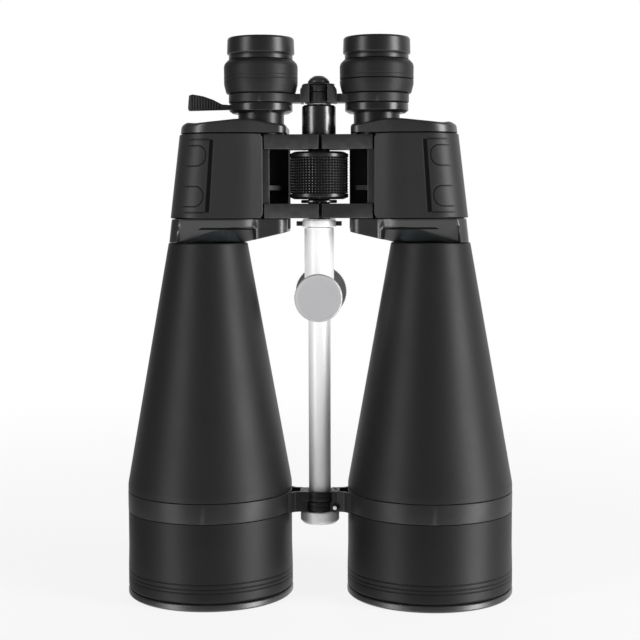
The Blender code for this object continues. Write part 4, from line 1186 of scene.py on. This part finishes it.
    def make_armour(self, bench: Bench) -> None:
        """The rubber skin, with the grip panel and its two finger tabs pressed into it.

        The skin is a grid: distance along the plan's outline by height. Its depth under the outline is a sum
        of rounded rims, a panel groove and the tabs' outlines, each a smooth function of the distance to the
        feature's own edge. The back wall is the outline moved in by the armour's thickness.
        """
        outline = rounded(self.armour_corners(), 0, 64, closed=True)
        outline = outline[65 // 2 : -65 // 2 + 1]
        step = np.linalg.norm(np.diff(outline, axis=0), axis=1)
        outline = outline[np.concatenate([[True], step > 1e-6])]
        travel = np.concatenate([[0], np.cumsum(np.linalg.norm(np.diff(outline, axis=0), axis=1))])
        far = int(np.argmax(outline[:, 0]))
        groove_in = float(np.interp(self.axis_x, outline[:far, 0], travel[:far]))
        tab_in = float(np.interp(self.axis_x + 1.4, outline[:far, 0], travel[:far]))
        total = float(travel[-1])
        fine = np.arange(groove_in - 4, travel[far] + 4, 0.30)
        coarse = np.concatenate([np.arange(0, 5, 0.3), np.arange(5, groove_in - 4, 0.8)])
        far_end = np.linspace(total - 4.6, total, 16)
        behind = np.concatenate([np.arange(fine[-1] + 0.8, total - 5, 0.8), far_end])
        s = np.concatenate([coarse, fine, behind])
        x, y = np.interp(s, travel, outline[:, 0]), np.interp(s, travel, outline[:, 1])
        tangent = np.stack([np.gradient(x, s), np.gradient(y, s)], axis=1)
        tangent /= np.linalg.norm(tangent, axis=1)[:, None]
        normal = np.stack([tangent[:, 1], -tangent[:, 0]], axis=1)
        z = np.linspace(self.low, self.high, 156)
        along, height = np.meshgrid(s, z, indexing="ij")
        depth, crease = self.armour_relief(along, height, groove_in, tab_in, total)
        front = np.stack(
            [x[:, None] - normal[:, :1] * depth, y[:, None] - normal[:, 1:] * depth, height], axis=2
        )
        wall = self.armour_wall
        rear = np.stack([x - normal[:, 0] * wall, y - normal[:, 1] * wall], axis=1)[:, None]
        rear = np.broadcast_to(rear, (len(s), 2, 2))
        ends = np.tile([[[self.high], [self.low]]], (len(s), 1, 1))
        rear = np.concatenate([rear, ends], axis=2)
        # The back wall carries no painted groove shade.
        crease = np.concatenate([crease, np.zeros((len(s), 2))], axis=1).ravel()
        skin = stacked(np.concatenate([front, rear], axis=1), self.leaning, crease)
        bench.add(self.side.node("armour"), [skin.on(self.side)], "armour")

    def armour_relief(
        self, along: Array, height: Array, groove_in: float, tab_in: float, total: float
    ) -> tuple[Array, Array]:
        """How deep the armour's face lies under its plain outline, and the painted shade in its grooves.

        Args:
            along: Distance along the outline at each grid point.
            height: Height of each grid point.
            groove_in: Where the upright groove runs.
            tab_in: Where the finger tabs begin.
            total: Length of the outline.

        Returns:
            The depth and the painted groove shade at each grid point.
        """
        corner, rim = 3.2, 0.6
        middle = (self.low + self.high) / 2
        half = (self.high - self.low) / 2
        beyond_s = np.abs(along - total / 2) - (total / 2 - corner)
        beyond_z = np.abs(height - middle) - (half - corner)
        outside = np.hypot(np.maximum(beyond_s, 0), np.maximum(beyond_z, 0))
        edge = corner - outside - np.minimum(np.maximum(beyond_s, beyond_z), 0)
        within = np.clip(edge / rim, 0, 1)
        depth = (rim + 0.1) * (1 - np.sqrt(1 - (1 - within) ** 2))
        depth = np.where(edge < 0, self.armour_wall - 0.15, depth)
        from_end = total / 2 - np.abs(along - total / 2)
        shown = 1 - smooth_step(tab_in + 9.0, tab_in + 15.0, from_end)
        half_panel = half - self.panel_margin
        up = half_panel - np.abs(height - middle)
        inside_z = smooth_step(-0.4, 0.4, up)
        beyond = from_end - groove_in
        upright = smooth_step(-3.1, -2.3, beyond) * (1 - smooth_step(-0.3, 0.2, beyond))
        level = np.exp(-((up / 0.5) ** 2)) * smooth_step(-0.6, 0.4, beyond)
        groove = np.maximum(upright * inside_z, 0.8 * level * shown)
        depth += self.groove_depth * groove
        # Painted shade: the groove is darkened, standing for the shade that falls in it.
        crease = 0.85 * groove
        radius = self.tab_height * 0.46
        for number in range(2):
            tab_middle = self.low + self.tab_offset + self.tab_height / 2 + number * self.tab_spacing
            run = tab_in + radius - from_end
            rise = np.abs(height - tab_middle) - (self.tab_height / 2 - radius)
            reach = np.hypot(np.maximum(run, 0), np.maximum(rise, 0)) + np.minimum(np.maximum(run, rise), 0)
            line = np.exp(-(((reach - radius) / 0.34) ** 2)) * shown
            depth += 0.15 * line
            # The tab outlines are darkened by painted shade as well.
            crease = np.maximum(crease, line)
        return depth, crease

    def make_cover(self, bench: Bench) -> None:
        """The cover plate: an upright face whose top climbs towards the eyepiece, then a low dome.

        The face falls away from the full height by two smooth steps, one outwards and one inwards. Above a
        fillet the outline shrinks towards the eyepiece's axis by a share k, while the height runs to the
        dome's top. A small bump stands on the outer corner.
        """
        node = self.side.node("cover_plate")
        box = Box.of(node)
        low, high = box.bottom, box.top
        rim, fillet = low + 4.7, 1.8
        centre = np.array([abs(float(Box.of(self.side.node("eyepiece_tube")).middle[0])), 0.0])
        section = [(0.9, 0.0), (0.65, 0.1), (0.6, 0.4), (0.6, 1.5), (0.6, 2.8)]
        plans = [(rounded(inset(self.plan_corners(), inset_by), 0, 24), rise) for inset_by, rise in section]
        outline = plans[0][0]
        top = high - 2.6 * smooth_step(42.0, 80.0, outline[:, 0])
        top = top - 2.6 * (1 - smooth_step(26.0, 29.5, outline[:, 0]))
        rings = [np.column_stack([plan, np.full(len(plan), low + rise)]) for plan, rise in plans]
        for angle in np.linspace(0, math.pi / 2, 7):
            plan = rounded(inset(self.plan_corners(), 0.6 + fillet * (1 - math.cos(angle))), 0, 24)
            rings.append(np.column_stack([plan, top - fillet + fillet * math.sin(angle)]))
        edge = rings[-1]
        for keep in (0.97, 0.93, 0.88, 0.82, 0.75, 0.66, 0.56, 0.47):
            plan = centre + (edge[:, :2] - centre) * keep
            share = (1 - keep**2.2) / (1 - 0.47**2.2)
            inward = smooth_step(26.0, 30.0, plan[:, 0])
            rings.append(np.column_stack([plan, top + (high - top) * share * inward]))
        points = np.array(rings)
        across = (points[..., 0] - (self.outer_x - 5.5)) / 3.0
        bump = np.exp(-(across**2) - ((points[..., 1] + 10) / 9) ** 2)
        points[..., 2] += 0.9 * bump * smooth_step(rim - 2.0, rim - 1.0, points[..., 2])
        points[..., 2] = np.minimum(points[..., 2], high)
        bench.add(node, [stacked(points, self.leaning).on(self.side)], "lacquer")


@dataclass
class Eyepiece:
    """One eyepiece from its neck to its eyecup, with the arm that carries it."""

    side: Side
    bore: float = 13.0

    def build(self, bench: Bench) -> None:
        """Makes each piece.

        Args:
            bench: Where they go.
        """
        self.centre = (abs(float(Box.of(self.side.node("eyepiece_tube")).middle[0])), 0.0)
        self.make_tube(bench)
        self.make_zoom_ring(bench)
        self.make_grip(bench)
        self.make_eyecup(bench)
        self.make_arm(bench)
        self.make_lenses(bench)

    def add(
        self, bench: Bench, part: str, corners: Sequence[Corner], finish: str, fillet: float = 0.25
    ) -> None:
        """A profile turned about the eyepiece's axis and put in place of its node.

        Args:
            bench: Where it goes.
            part: The node's name without its side, or with it when only one side has it.
            corners: The profile.
            finish: Which finish it has.
            fillet: Radius of plain corners.
        """
        node = part if part in bench.nodes else self.side.node(part)
        bench.add(node, [turned(corners, self.centre, segments=128, fillet=fillet).on(self.side)], finish)

    def make_tube(self, bench: Bench) -> None:
        """The neck that slides in the cover plate."""
        box = Box.of(self.side.node("eyepiece_tube"))
        radius = box.radius
        profile = [
            (radius, box.top, 0.3),
            (radius, box.bottom, 0.3),
            (radius - 1.7, box.bottom),
            (radius - 1.7, box.top),
        ]
        self.add(bench, "eyepiece_tube", profile, "cup_rubber")

    def make_zoom_ring(self, bench: Bench) -> None:
        """The zoom ring, undercut at its lower edge."""
        box = Box.of(self.side.node("zoom_ring"))
        radius, low, high = box.radius, box.bottom, box.top
        profile = [
            (radius - 0.3, high, 0.3),
            (radius, high - 0.5, 0.4),
            (radius, low + 1.3, 0.5),
            (radius - 1.9, low, 0.4),
            (self.bore, low),
            (self.bore, high),
        ]
        self.add(bench, "zoom_ring", profile, "polished_black")

    def make_grip(self, bench: Bench) -> None:
        """The rubber grip, waisted below and drawn in above, with two fine lines round its foot."""
        grip = Box.of(self.side.node("eyepiece_grip"))
        radius, high = grip.radius, grip.top
        low = Box.of("left_eyepiece_grip").bottom
        split = Box.of("right_eyepiece_grip").bottom
        upper: list[Corner] = [
            (radius - 2.2, high, 0.3),
            (radius - 0.5, high - 1.8, 1.0),
            (radius, high - 3.4, 2.0),
        ]
        lower: list[Corner] = [
            (radius - 0.1, low + 4.8, 4.0),
            (radius - 1.1, low + 0.8, 0.8),
            (radius - 1.5, low, 0.3),
            (self.bore, low),
        ]
        line = [
            (radius - 0.05, split + 2.5, 0.1),
            (radius - 0.22, split + 2.2, 0.1),
            (radius - 0.05, split + 1.9, 0.1),
        ]
        if self.side is Side.RIGHT:
            seam = split - 0.3
            foot = [(radius, split + 0.2, 0.2), (radius - 0.3, split), (self.bore, split)]
            self.add(
                bench, "eyepiece_grip", [*upper, *line, *foot, (self.bore, high)], "grip_rubber"
            )
            ring = [(self.bore, seam), (radius - 0.3, seam), (radius, seam - 0.3, 0.2)]
            self.add(bench, "dioptre_ring", [*ring, *lower], "grip_rubber")
        else:
            shallow = [
                (radius, split + 0.4, 0.1),
                (radius - 0.25, split + 0.05, 0.1),
                (radius, split - 0.3, 0.1),
            ]
            profile = [*upper, *line, *shallow, *lower, (self.bore, high)]
            self.add(bench, "eyepiece_grip", profile, "grip_rubber")

    def make_eyecup(self, bench: Bench) -> None:
        """The eyecup: a lip, a fold line and a hollow cup."""
        box = Box.of(self.side.node("eyecup"))
        radius, low, high = box.radius, box.bottom, box.top
        opening = radius - 2.7
        profile = [
            (opening, high - 0.2, 0.5),
            (opening + 1.0, high, 0.6),
            (radius - 0.9, high, 0.8),
            (radius - 0.25, high - 1.1, 0.9),
            (radius, low + 3.5, 0.4),
            (radius - 0.5, low + 2.9, 0.2),
            (radius - 1.5, low + 2.6, 0.2),
            (radius - 1.0, low + 2.1, 0.3),
            (radius - 1.0, low, 0.3),
            (self.bore, low),
            (self.bore, low + 3.3, 0.8),
            (opening - 0.8, low + 4.9, 1.0),
        ]
        self.add(bench, "eyecup", profile, "cup_rubber")

    def make_arm(self, bench: Bench) -> None:
        """The arm: a ring round the neck, a web, and an ear with a knuckle on the focus spindle."""
        node = self.side.node("bridge_arm")
        ring_box = Box.of(self.side.node("zoom_ring"))
        low, high = ring_box.top + 0.3, ring_box.top + 5.2
        radius = ring_box.radius + 0.3
        spindle = Box.of("focus_spindle")
        hub_low, hub_high = low - 0.2, spindle.top
        split = hub_low + 6.1
        ring = [(radius, high, 0.45), (radius, low, 0.45), (self.bore, low), (self.bore, high)]
        inner = self.centre[0] - radius
        ear_x, front, rear = 10.0, -9.6, 5.0
        web = [(ear_x - 1.5, -7.5, 0), (inner + 3, -7.5, 0), (inner + 3, rear, 0), (ear_x - 1.5, rear, 0)]
        ear = [
            (5.0, hub_low, 0.3),
            (ear_x, hub_low, 0.4),
            (ear_x, hub_high - 2.9, 0.5),
            (ear_x - 1.9, hub_high, 0.5),
            (5.0, hub_high, 0.3),
        ]
        own = (split + 0.15, hub_high) if self.side is Side.LEFT else (hub_low, split - 0.15)
        bore = 4.2
        knuckle = [(7.8, own[1], 0.5), (7.8, own[0], 0.4), (bore, own[0]), (bore, own[1])]
        block = slab(ear, -front - 2.6, -front, 0.35, facing_front)
        side_plate = [
            (8.4, hub_low, 0.3),
            (ear_x, hub_low, 0.3),
            (ear_x, hub_high - 2.9, 0.5),
            (8.4, hub_high - 0.4, 0.3),
        ]
        cheek = slab(side_plate, -rear, -front - 2.2, 0.3, facing_front)
        tie = [(6.4, -4.5, 0), (9.2, -4.5, 0), (9.2, 3.5, 0), (6.4, 3.5, 0)]
        skins = [
            turned(ring, self.centre, segments=128),
            slab(web, low + 0.15, high - 0.15, 0.4),
            block,
            cheek,
            turned(knuckle, segments=72),
            slab(tie, own[0] + 0.1, own[1] - 0.1, 0.1),
        ]
        bench.add(node, [skin.on(self.side) for skin in skins], "anodised")

    def make_lenses(self, bench: Bench) -> None:
        """The eye lens and the zoom lens: both faces h = sag * (1 - (r / R) squared)."""
        for part in ("eye_lens", "zoom_lens"):
            box = Box.of(self.side.node(part))
            share = np.linspace(0, 1, 12)
            top = [(box.radius * s, box.top - 1.6 * s * s, 0) for s in share]
            bottom = [(box.radius * s, box.bottom + 1.6 * s * s, 0) for s in share[::-1]]
            self.add(bench, part, top + bottom, "glass", 0)


@dataclass
class ZoomLever:
    """The ribbed paddle on the left zoom ring."""

    ribs: int = 11
    rib_width: float = 0.8
    rib_height: float = 0.6

    def build(self, bench: Bench) -> None:
        """Makes the paddle with its ribs.

        Args:
            bench: Where it goes.
        """
        box = Box.of("zoom_lever")
        tip, root = -float(box.low[0]), -float(box.high[0])
        low, high, half = box.bottom, box.top, float(box.high[1])
        top = [
            (tip - 0.6, high - 0.6),
            (tip - 2.6, high),
            (tip - 8.4, high - 1.0),
            (tip - 14.0, high - 3.0),
            (tip - 19.0, high - 5.6),
        ]
        paddle = [
            (root - 0.6, low + 0.5, 0.3),
            (tip - 0.3, low, 0.6),
            (tip, low + 1.5, 1.0),
            (*top[0], 0.8),
            (*top[1], 1.6),
            (*top[2], 12.0),
            (*top[3], 12.0),
            (*top[4], 3.0),
            (root - 0.6, low + 3.1, 0.3),
        ]
        skins = [slab(paddle, -half + self.rib_height, half - self.rib_height, 0.5, facing_front)]
        places = np.linspace(tip - 1.8, tip - 17.0, self.ribs)
        line = np.array(top)[::-1]
        tops = np.interp(places, line[:, 0], line[:, 1])
        for x, z in zip(places, tops):
            rib = [
                (x - self.rib_width / 2, low + 0.5, 0.1),
                (x + self.rib_width / 2, low + 0.5, 0.1),
                (x + self.rib_width / 2, z - 0.5, 0.1),
                (x - self.rib_width / 2, z - 0.5, 0.1),
            ]
            skins.append(slab(rib, -half, half, 0.2, facing_front, steps=2))
        bench.add("zoom_lever", [skin.on(Side.LEFT) for skin in skins], "lever_rubber")


# Centre -----------------------------------------------------------------------------------------


@dataclass
class FocusDrive:
    """The hinge tube, the focus wheel and what it lifts."""

    columns: int = 58
    rows: int = 13
    rim: float = 3.1
    knurl_depth: float = 0.85

    def build(self, bench: Bench) -> None:
        """Makes each piece.

        Args:
            bench: Where they go.
        """
        self.make_hinge_tube(bench)
        self.make_focus_tube(bench)
        self.make_wheel(bench)
        self.make_spindle(bench)
        self.make_hub_cap(bench)

    def make_hinge_tube(self, bench: Bench) -> None:
        """The tube that the barrels fold about, with a flange under the lower arms."""
        box = Box.of("hinge_tube")
        low, high = box.bottom, box.top
        profile = [
            (6.0, high), (6.0, low + 0.5), (box.radius, low + 0.5, 0.1), (box.radius, low, 0.1),
            (4.3, low), (4.3, high),
        ]
        bench.add("hinge_tube", [turned(profile)], "polished_black")
        washer = Box.of("thrust_washer")
        radius, low, high = washer.radius, washer.bottom, washer.top
        ring = [(radius, high, 0.5), (radius, low, 0.5), (6.3, low), (6.3, high)]
        bench.add("thrust_washer", [turned(ring)], "dark_chrome")

    def make_focus_tube(self, bench: Bench) -> None:
        """The dark chrome sleeve above the hinge, with a chamfered top."""
        box = Box.of("focus_tube")
        low, high, radius = box.bottom, box.top, box.radius
        profile = [
            (radius - 1.0, high, 0.2), (radius, high - 0.9, 0.2), (radius, low, 0.2), (4.3, low), (4.3, high),
        ]
        bench.add("focus_tube", [turned(profile, segments=128)], "dark_chrome")

    def make_wheel(self, bench: Bench) -> None:
        """The focus wheel: two bevelled rims with a band of square pyramids between them.

        The band's radius is the wheel's less a depth times (1 - peak), where the peak is the lesser of two
        triangle waves, one round the wheel and one up it, with its top cut flat.
        """
        box = Box.of("focus_wheel")
        radius, low, high = box.radius, box.bottom, box.top
        body = [
            (radius - 2.6, high, 0.5),
            (radius - 0.1, high - 1.2, 0.5),
            (radius - 0.1, high - self.rim, 0.3),
            (radius - 1.6, high - self.rim - 0.1, 0.1),
            (radius - 1.6, low + self.rim + 0.1, 0.1),
            (radius - 0.1, low + self.rim, 0.3),
            (radius - 0.1, low + 1.2, 0.5),
            (radius - 2.6, low, 0.5),
            (6.5, low),
            (6.5, high),
        ]
        bottom, top = low + self.rim + 0.2, high - self.rim - 0.2
        turns = np.linspace(0, 1, self.columns * 8, endpoint=False)
        share = np.linspace(0, 1, self.rows * 8 + 1)
        wave_round = 1 - np.abs(2 * ((turns * self.columns) % 1) - 1)
        wave_up = 1 - np.abs(2 * ((share * self.rows) % 1) - 1)
        peak = np.minimum(np.minimum(wave_round[None, :], wave_up[:, None]) * 1.25, 1.0)
        reach = radius - 0.15 - self.knurl_depth * (1 - peak)
        angle = 2 * math.pi * turns
        height = np.broadcast_to((bottom + (top - bottom) * share)[:, None], reach.shape)
        band = np.stack([reach * np.cos(angle), reach * np.sin(angle), height], axis=2)
        inner = np.stack([(radius - 2) * np.cos(angle), (radius - 2) * np.sin(angle)], axis=1)
        lower = np.column_stack([inner, np.full(len(angle), bottom)])[None]
        upper = np.column_stack([inner, np.full(len(angle), top)])[None]
        rings = np.concatenate([lower, band, upper])
        faces = grid_faces(len(rings), len(angle), True, True)
        knurl = Surface(rings.reshape(-1, 3), faces).outward()
        # Painted shade: a dark, dull sleeve under the knurl shows through its deepest valleys, standing for
        # the shade in them.
        valley_shade_sleeve = [(radius - 0.5, top), (radius - 0.5, bottom), (radius - 1.9, bottom), (radius - 1.9, top)]
        bench.add(
            "focus_wheel",
            [turned(body, segments=128), knurl],
            "polished_black",
            extra={"recess": [turned(valley_shade_sleeve, segments=116)]},
        )

    def make_spindle(self, bench: Bench) -> None:
        """The spindle with the bright flange under the hub."""
        box = Box.of("focus_spindle")
        tube = Box.of("focus_tube")
        flange = (tube.top + 0.3, tube.top + 0.7)
        shaft = 3.9
        profile = [
            (0, box.top), (shaft, box.top, 0.3), (shaft, flange[1]), (box.radius, flange[1], 0.1),
            (box.radius, flange[0], 0.1), (shaft, flange[0]), (shaft, box.bottom, 0.4), (0, box.bottom),
        ]
        bench.add("focus_spindle", [turned(profile, segments=64, fillet=0.1)], "silver")

    def make_hub_cap(self, bench: Bench) -> None:
        """The dished washer over the hub, and the cap above it."""
        washer = Box.of("hub_washer")
        low, high, radius = washer.bottom, washer.top, washer.radius
        dish = [(0, high), (radius - 2.6, high, 0.3), (radius, low + 0.25, 0.1), (radius, low, 0.1), (0, low)]
        bench.add("hub_washer", [turned(dish)], "polished_black")
        cap = Box.of("hub_cap")
        low, high, radius = cap.bottom, cap.top, cap.radius
        dome = [
            (0, high), (radius - 3.4, high, 1.8), (radius - 1.2, high - 1.5, 2.0), (radius, low + 0.8, 0.5),
            (radius, low, 0.1), (0, low),
        ]
        bench.add("hub_cap", [turned(dome)], "cap_grey")


@dataclass
class TripodRod:
    """The central rod with its collar and end cap, and the clamp that slides on it."""

    def build(self, bench: Bench) -> None:
        """Makes each piece.

        Args:
            bench: Where they go.
        """
        self.make_rod(bench)
        self.make_collar(bench)
        self.make_clamp(bench)

    def make_rod(self, bench: Bench) -> None:
        """The rod, and the cap on its lower end."""
        rod = Box.of("centre_rod")
        profile = [(0, rod.top), (rod.radius, rod.top, 0.4), (rod.radius, rod.bottom, 0.4), (0, rod.bottom)]
        bench.add("centre_rod", [turned(profile)], "silver")
        cap = Box.of("rod_end_cap")
        bore = rod.radius + 0.3
        shape = [
            (cap.radius - 0.3, cap.top, 0.3), (cap.radius, cap.top - 0.5, 0.3),
            (cap.radius, cap.bottom + 1.7, 1.2), (cap.radius - 1.6, cap.bottom, 1.0), (0, cap.bottom),
        ]
        inner = [(0, rod.bottom - 0.3), (bore, rod.bottom - 0.3), (bore, cap.top)]
        bench.add("rod_end_cap", [turned([*inner, *shape], segments=96)], "silver")

    def make_collar(self, bench: Bench) -> None:
        """The collar under the hinge, and the square-ended pin through it."""
        collar = Box.of("rod_collar")
        low, high, radius = collar.bottom, collar.top, collar.radius
        ring = [(radius, high, 0.3), (radius, low, 0.5), (6.5, low), (6.5, high)]
        bench.add("rod_collar", [turned(ring)], "silver")
        pin = Box.of("collar_pin")
        z, half = float(pin.middle[2]), 1.3
        ends = []
        for way in (-1, 1):
            near, far = radius - 1.0, pin.high[0]
            span = (near, far) if way > 0 else (-far, -near)
            corners = ((-half, -half), (half, -half), (half, half), (-half, half))
            square = [(x, z + rise, 0.2) for x, rise in corners]
            ends.append(slab(square, *span, 0.25, lying))
        bench.add("collar_pin", ends, "cap_grey")

    def make_clamp(self, bench: Bench) -> None:
        """The sleeve with its boss and post, the clamp knob, and the ridged foot behind."""
        sleeve = Box.of("tripod_sleeve")
        knob, foot = Box.of("tripod_knob"), Box.of("tripod_foot")
        low, high, radius = sleeve.bottom, sleeve.top, 8.2
        z = float(knob.middle[2])
        ring = [(radius, high, 0.4), (radius, low, 0.5), (6.5, low), (6.5, high)]
        boss = [(6.0, float(sleeve.low[1]), 0.4), (6.0, -5.0), (3.3, -5.0), (3.3, float(sleeve.low[1]))]
        post = [(0, 6.6), (7.0, 6.6), (7.0, float(sleeve.high[1]), 0.4), (0, float(sleeve.high[1]))]
        skins = [
            turned(ring, segments=128),
            turned(boss, (0, z), Axis.Y),
            turned(post, (0, z), Axis.Y),
        ]
        bench.add("tripod_sleeve", skins, "silver")
        front, rear = float(knob.low[1]), float(knob.low[1]) + 6.5
        radius = knob.radius
        disc = [
            (0, front + 0.1), (radius - 1.6, front + 0.1, 0.3), (radius - 1.1, front, 0.3),
            (radius - 0.5, front, 0.4), (radius, front + 0.6, 0.4), (radius, rear - 0.6, 0.4),
            (radius - 0.6, rear, 0.3), (3.0, rear),
            (3.0, float(knob.high[1])), (0, float(knob.high[1])),
        ]
        bench.add("tripod_knob", [turned(disc, (0, z), Axis.Y, 128)], "blasted_silver")
        self.make_foot(bench, foot, z)

    def make_foot(self, bench: Bench, box: Box, z: float) -> None:
        """The foot's disc, whose side has ridges: r = R - 0.35 * (1 + cos(60 a)) / 2.

        Args:
            bench: Where it goes.
            box: The foot's box.
            z: Height of its axis.
        """
        front, rear, radius = float(box.low[1]), float(box.high[1]), box.radius
        disc = [
            (0, front), (radius - 0.8, front, 0.4), (radius, front + 0.8, 0.3), (radius, rear - 0.8, 0.3),
            (radius - 0.8, rear, 0.4), (3.2, rear, 0.2), (3.2, rear - 6, 0.2), (0, rear - 6),
        ]
        skin = turned(disc, (0, z), Axis.Y, 480)

        def ridged(points: Array) -> Array:
            """Cuts the ridges where the disc is widest."""
            across = points[:, (0, 2)] - (0, z)
            reach = np.linalg.norm(across, axis=1)
            angle = np.arctan2(across[:, 1], across[:, 0])
            cut = 0.35 * (1 + np.cos(60 * angle)) / 2 * smooth_step(radius - 0.6, radius - 0.1, reach)
            across = across * (1 - cut / np.maximum(reach, 1))[:, None]
            return np.column_stack([across[:, 0], points[:, 1], across[:, 1] + z])

        bench.add("tripod_foot", [skin.warped(ridged)], "blasted_silver")


# Studio -----------------------------------------------------------------------------------------


@dataclass
class Studio:
    """A pale floor, two tall soft lights in front, a bright surround behind, and the camera."""

    camera_place: tuple[float, float, float] = (0.020, -0.780, 0.2165)
    camera_turn: tuple[float, float, float] = (math.pi / 2 - 0.080, 0.003, 0.025)
    focal_length: float = 78.6
    floor_radius: float = 6.0

    def build(self) -> None:
        """Makes the floor, the lights, the surround and the camera."""
        self.make_floor()
        self.make_strip("key_strip", 64.0, 1.10, 0.42, 24.0)
        self.make_strip("fill_strip", -51.0, 0.80, 0.26, 7.0)
        self.make_surround()
        self.make_camera()

    @staticmethod
    def soft_range(
        tree: bpy.types.NodeTree,
        value: bpy.types.NodeSocket,
        source: tuple[float, float],
        target: tuple[float, float],
    ) -> bpy.types.NodeSocket:
        """Turns one range of values into another through a smooth step.

        Args:
            tree: Where the node goes.
            value: What is turned.
            source: The two values that it comes from.
            target: The two values that they become.

        Returns:
            The result's socket.
        """
        node = tree.nodes.new("ShaderNodeMapRange")
        node.interpolation_type = "SMOOTHSTEP"
        labels = ("From Min", "From Max", "To Min", "To Max")
        for label, number in zip(labels, (*source, *target)):
            node.inputs[label].default_value = number
        tree.links.new(value, node.inputs["Value"])
        return node.outputs["Result"]

    def make_floor(self) -> None:
        """A round floor that turns into a plain white glow away from the object, so no horizon shows."""
        radius = np.array([0.0, 0.3, 0.6, 1.0, 2.0, self.floor_radius]) / MM
        angle = np.linspace(0, 2 * math.pi, 64, endpoint=False)
        x, y = radius[:, None] * np.cos(angle), radius[:, None] * np.sin(angle)
        points = np.stack([x, y, np.full((6, 64), -0.05)], axis=2)
        mesh = make_mesh("floor", [Surface(points.reshape(-1, 3), grid_faces(6, 64, False, True))])
        material = bpy.data.materials.new("pale_floor")
        material.use_nodes = True
        tree = material.node_tree
        shader = tree.nodes["Principled BSDF"]
        shader.inputs["Base Color"].default_value = (0.82, 0.82, 0.82, 1.0)
        shader.inputs["Roughness"].default_value = 0.7
        shader.inputs["Emission Color"].default_value = (1.0, 1.0, 1.0, 1.0)
        place = tree.nodes.new("ShaderNodeTexCoord")
        length = tree.nodes.new("ShaderNodeVectorMath")
        length.operation = "LENGTH"
        tree.links.new(place.outputs["Object"], length.inputs[0])
        fade = self.soft_range(tree, length.outputs["Value"], (0.12, 0.9), (0.85, 1.0))
        glow = tree.nodes.new("ShaderNodeEmission")
        blend = tree.nodes.new("ShaderNodeMixShader")
        tree.links.new(fade, blend.inputs["Fac"])
        tree.links.new(shader.outputs["BSDF"], blend.inputs[1])
        tree.links.new(glow.outputs["Emission"], blend.inputs[2])
        tree.links.new(blend.outputs["Shader"], tree.nodes["Material Output"].inputs["Surface"])
        mesh.materials.append(material)
        floor = bpy.data.objects.new("floor", mesh)
        floor.visible_glossy = False
        floor.visible_diffuse = False
        floor.visible_shadow = False
        bpy.context.scene.collection.objects.link(floor)

    def make_strip(self, name: str, azimuth: float, distance: float, width: float, power: float) -> None:
        """A tall soft light that looks at the object's middle.

        Args:
            name: The light's name.
            azimuth: Degrees to the right of the way from the object to the camera.
            distance: Metres from the object.
            width: Metres across.
            power: Watts.
        """
        light = bpy.data.lights.new(name, "AREA")
        light.shape = "RECTANGLE"
        light.size = width
        light.size_y = 1.7
        light.energy = power
        angle = math.radians(azimuth)
        strip = bpy.data.objects.new(name, light)
        strip.location = (distance * math.sin(angle), -distance * math.cos(angle), 0.15)
        strip.rotation_euler = (math.radians(90), 0, angle)
        bpy.context.scene.collection.objects.link(strip)

    def make_surround(self) -> None:
        """A surround that is bright behind and under the object and dim in front of it."""
        world = bpy.data.worlds.new("surround")
        world.use_nodes = True
        tree = world.node_tree
        place = tree.nodes.new("ShaderNodeTexCoord")
        split = tree.nodes.new("ShaderNodeVectorMath")
        split.operation = "DOT_PRODUCT"
        split.inputs[1].default_value = (0.30, 0.95, 0.0)
        tree.links.new(place.outputs["Generated"], split.inputs[0])
        depth = self.soft_range(tree, split.outputs["Value"], (0.2, 0.95), (0.12, 1.0))
        down = tree.nodes.new("ShaderNodeSeparateXYZ")
        tree.links.new(place.outputs["Generated"], down.inputs["Vector"])
        under = self.soft_range(tree, down.outputs["Z"], (-0.25, -0.65), (0.0, 1.0))
        either = Workshop.math_node(tree, "MAXIMUM", depth, under)
        seen = tree.nodes.new("ShaderNodeLightPath").outputs["Is Camera Ray"]
        strength = Workshop.math_node(tree, "MAXIMUM", either, seen)
        background = tree.nodes["Background"]
        background.inputs["Color"].default_value = (1.0, 1.0, 1.0, 1.0)
        tree.links.new(strength, background.inputs["Strength"])
        bpy.context.scene.world = world
        bpy.context.scene.view_settings.view_transform = "Standard"

    def make_camera(self) -> None:
        """The camera, a little above the object's middle and to its right."""
        camera = bpy.data.objects.new("camera", bpy.data.cameras.new("camera"))
        camera.location = self.camera_place
        camera.rotation_euler = self.camera_turn
        camera.data.lens = self.focal_length
        bpy.context.scene.collection.objects.link(camera)
        bpy.context.scene.camera = camera


INSIDE = {
    "prism_shelf": "anodised",
    "upper_prism": "glass",
    "lower_prism": "glass",
    "upper_prism_clip": "spring_steel",
    "lower_prism_clip": "spring_steel",
}


def main() -> None:
    """Builds every sub-assembly, dresses what stays of the model, and lights it."""
    logging.basicConfig(level=logging.INFO, format="%(name)s: %(message)s")
    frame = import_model()
    bench = Bench(frame)
    for side in Side:
        Objective(side).build(bench)
        FrontBridge(side).build(bench)
        Housing(side).build(bench)
        Eyepiece(side).build(bench)
        for part, finish in INSIDE.items():
            bench.dress(side.node(part), finish)
    ZoomLever().build(bench)
    FocusDrive().build(bench)
    TripodRod().build(bench)
    bench.dress("focus_key", "spring_steel")
    Studio().build()


if __name__ == "__main__":
    main()
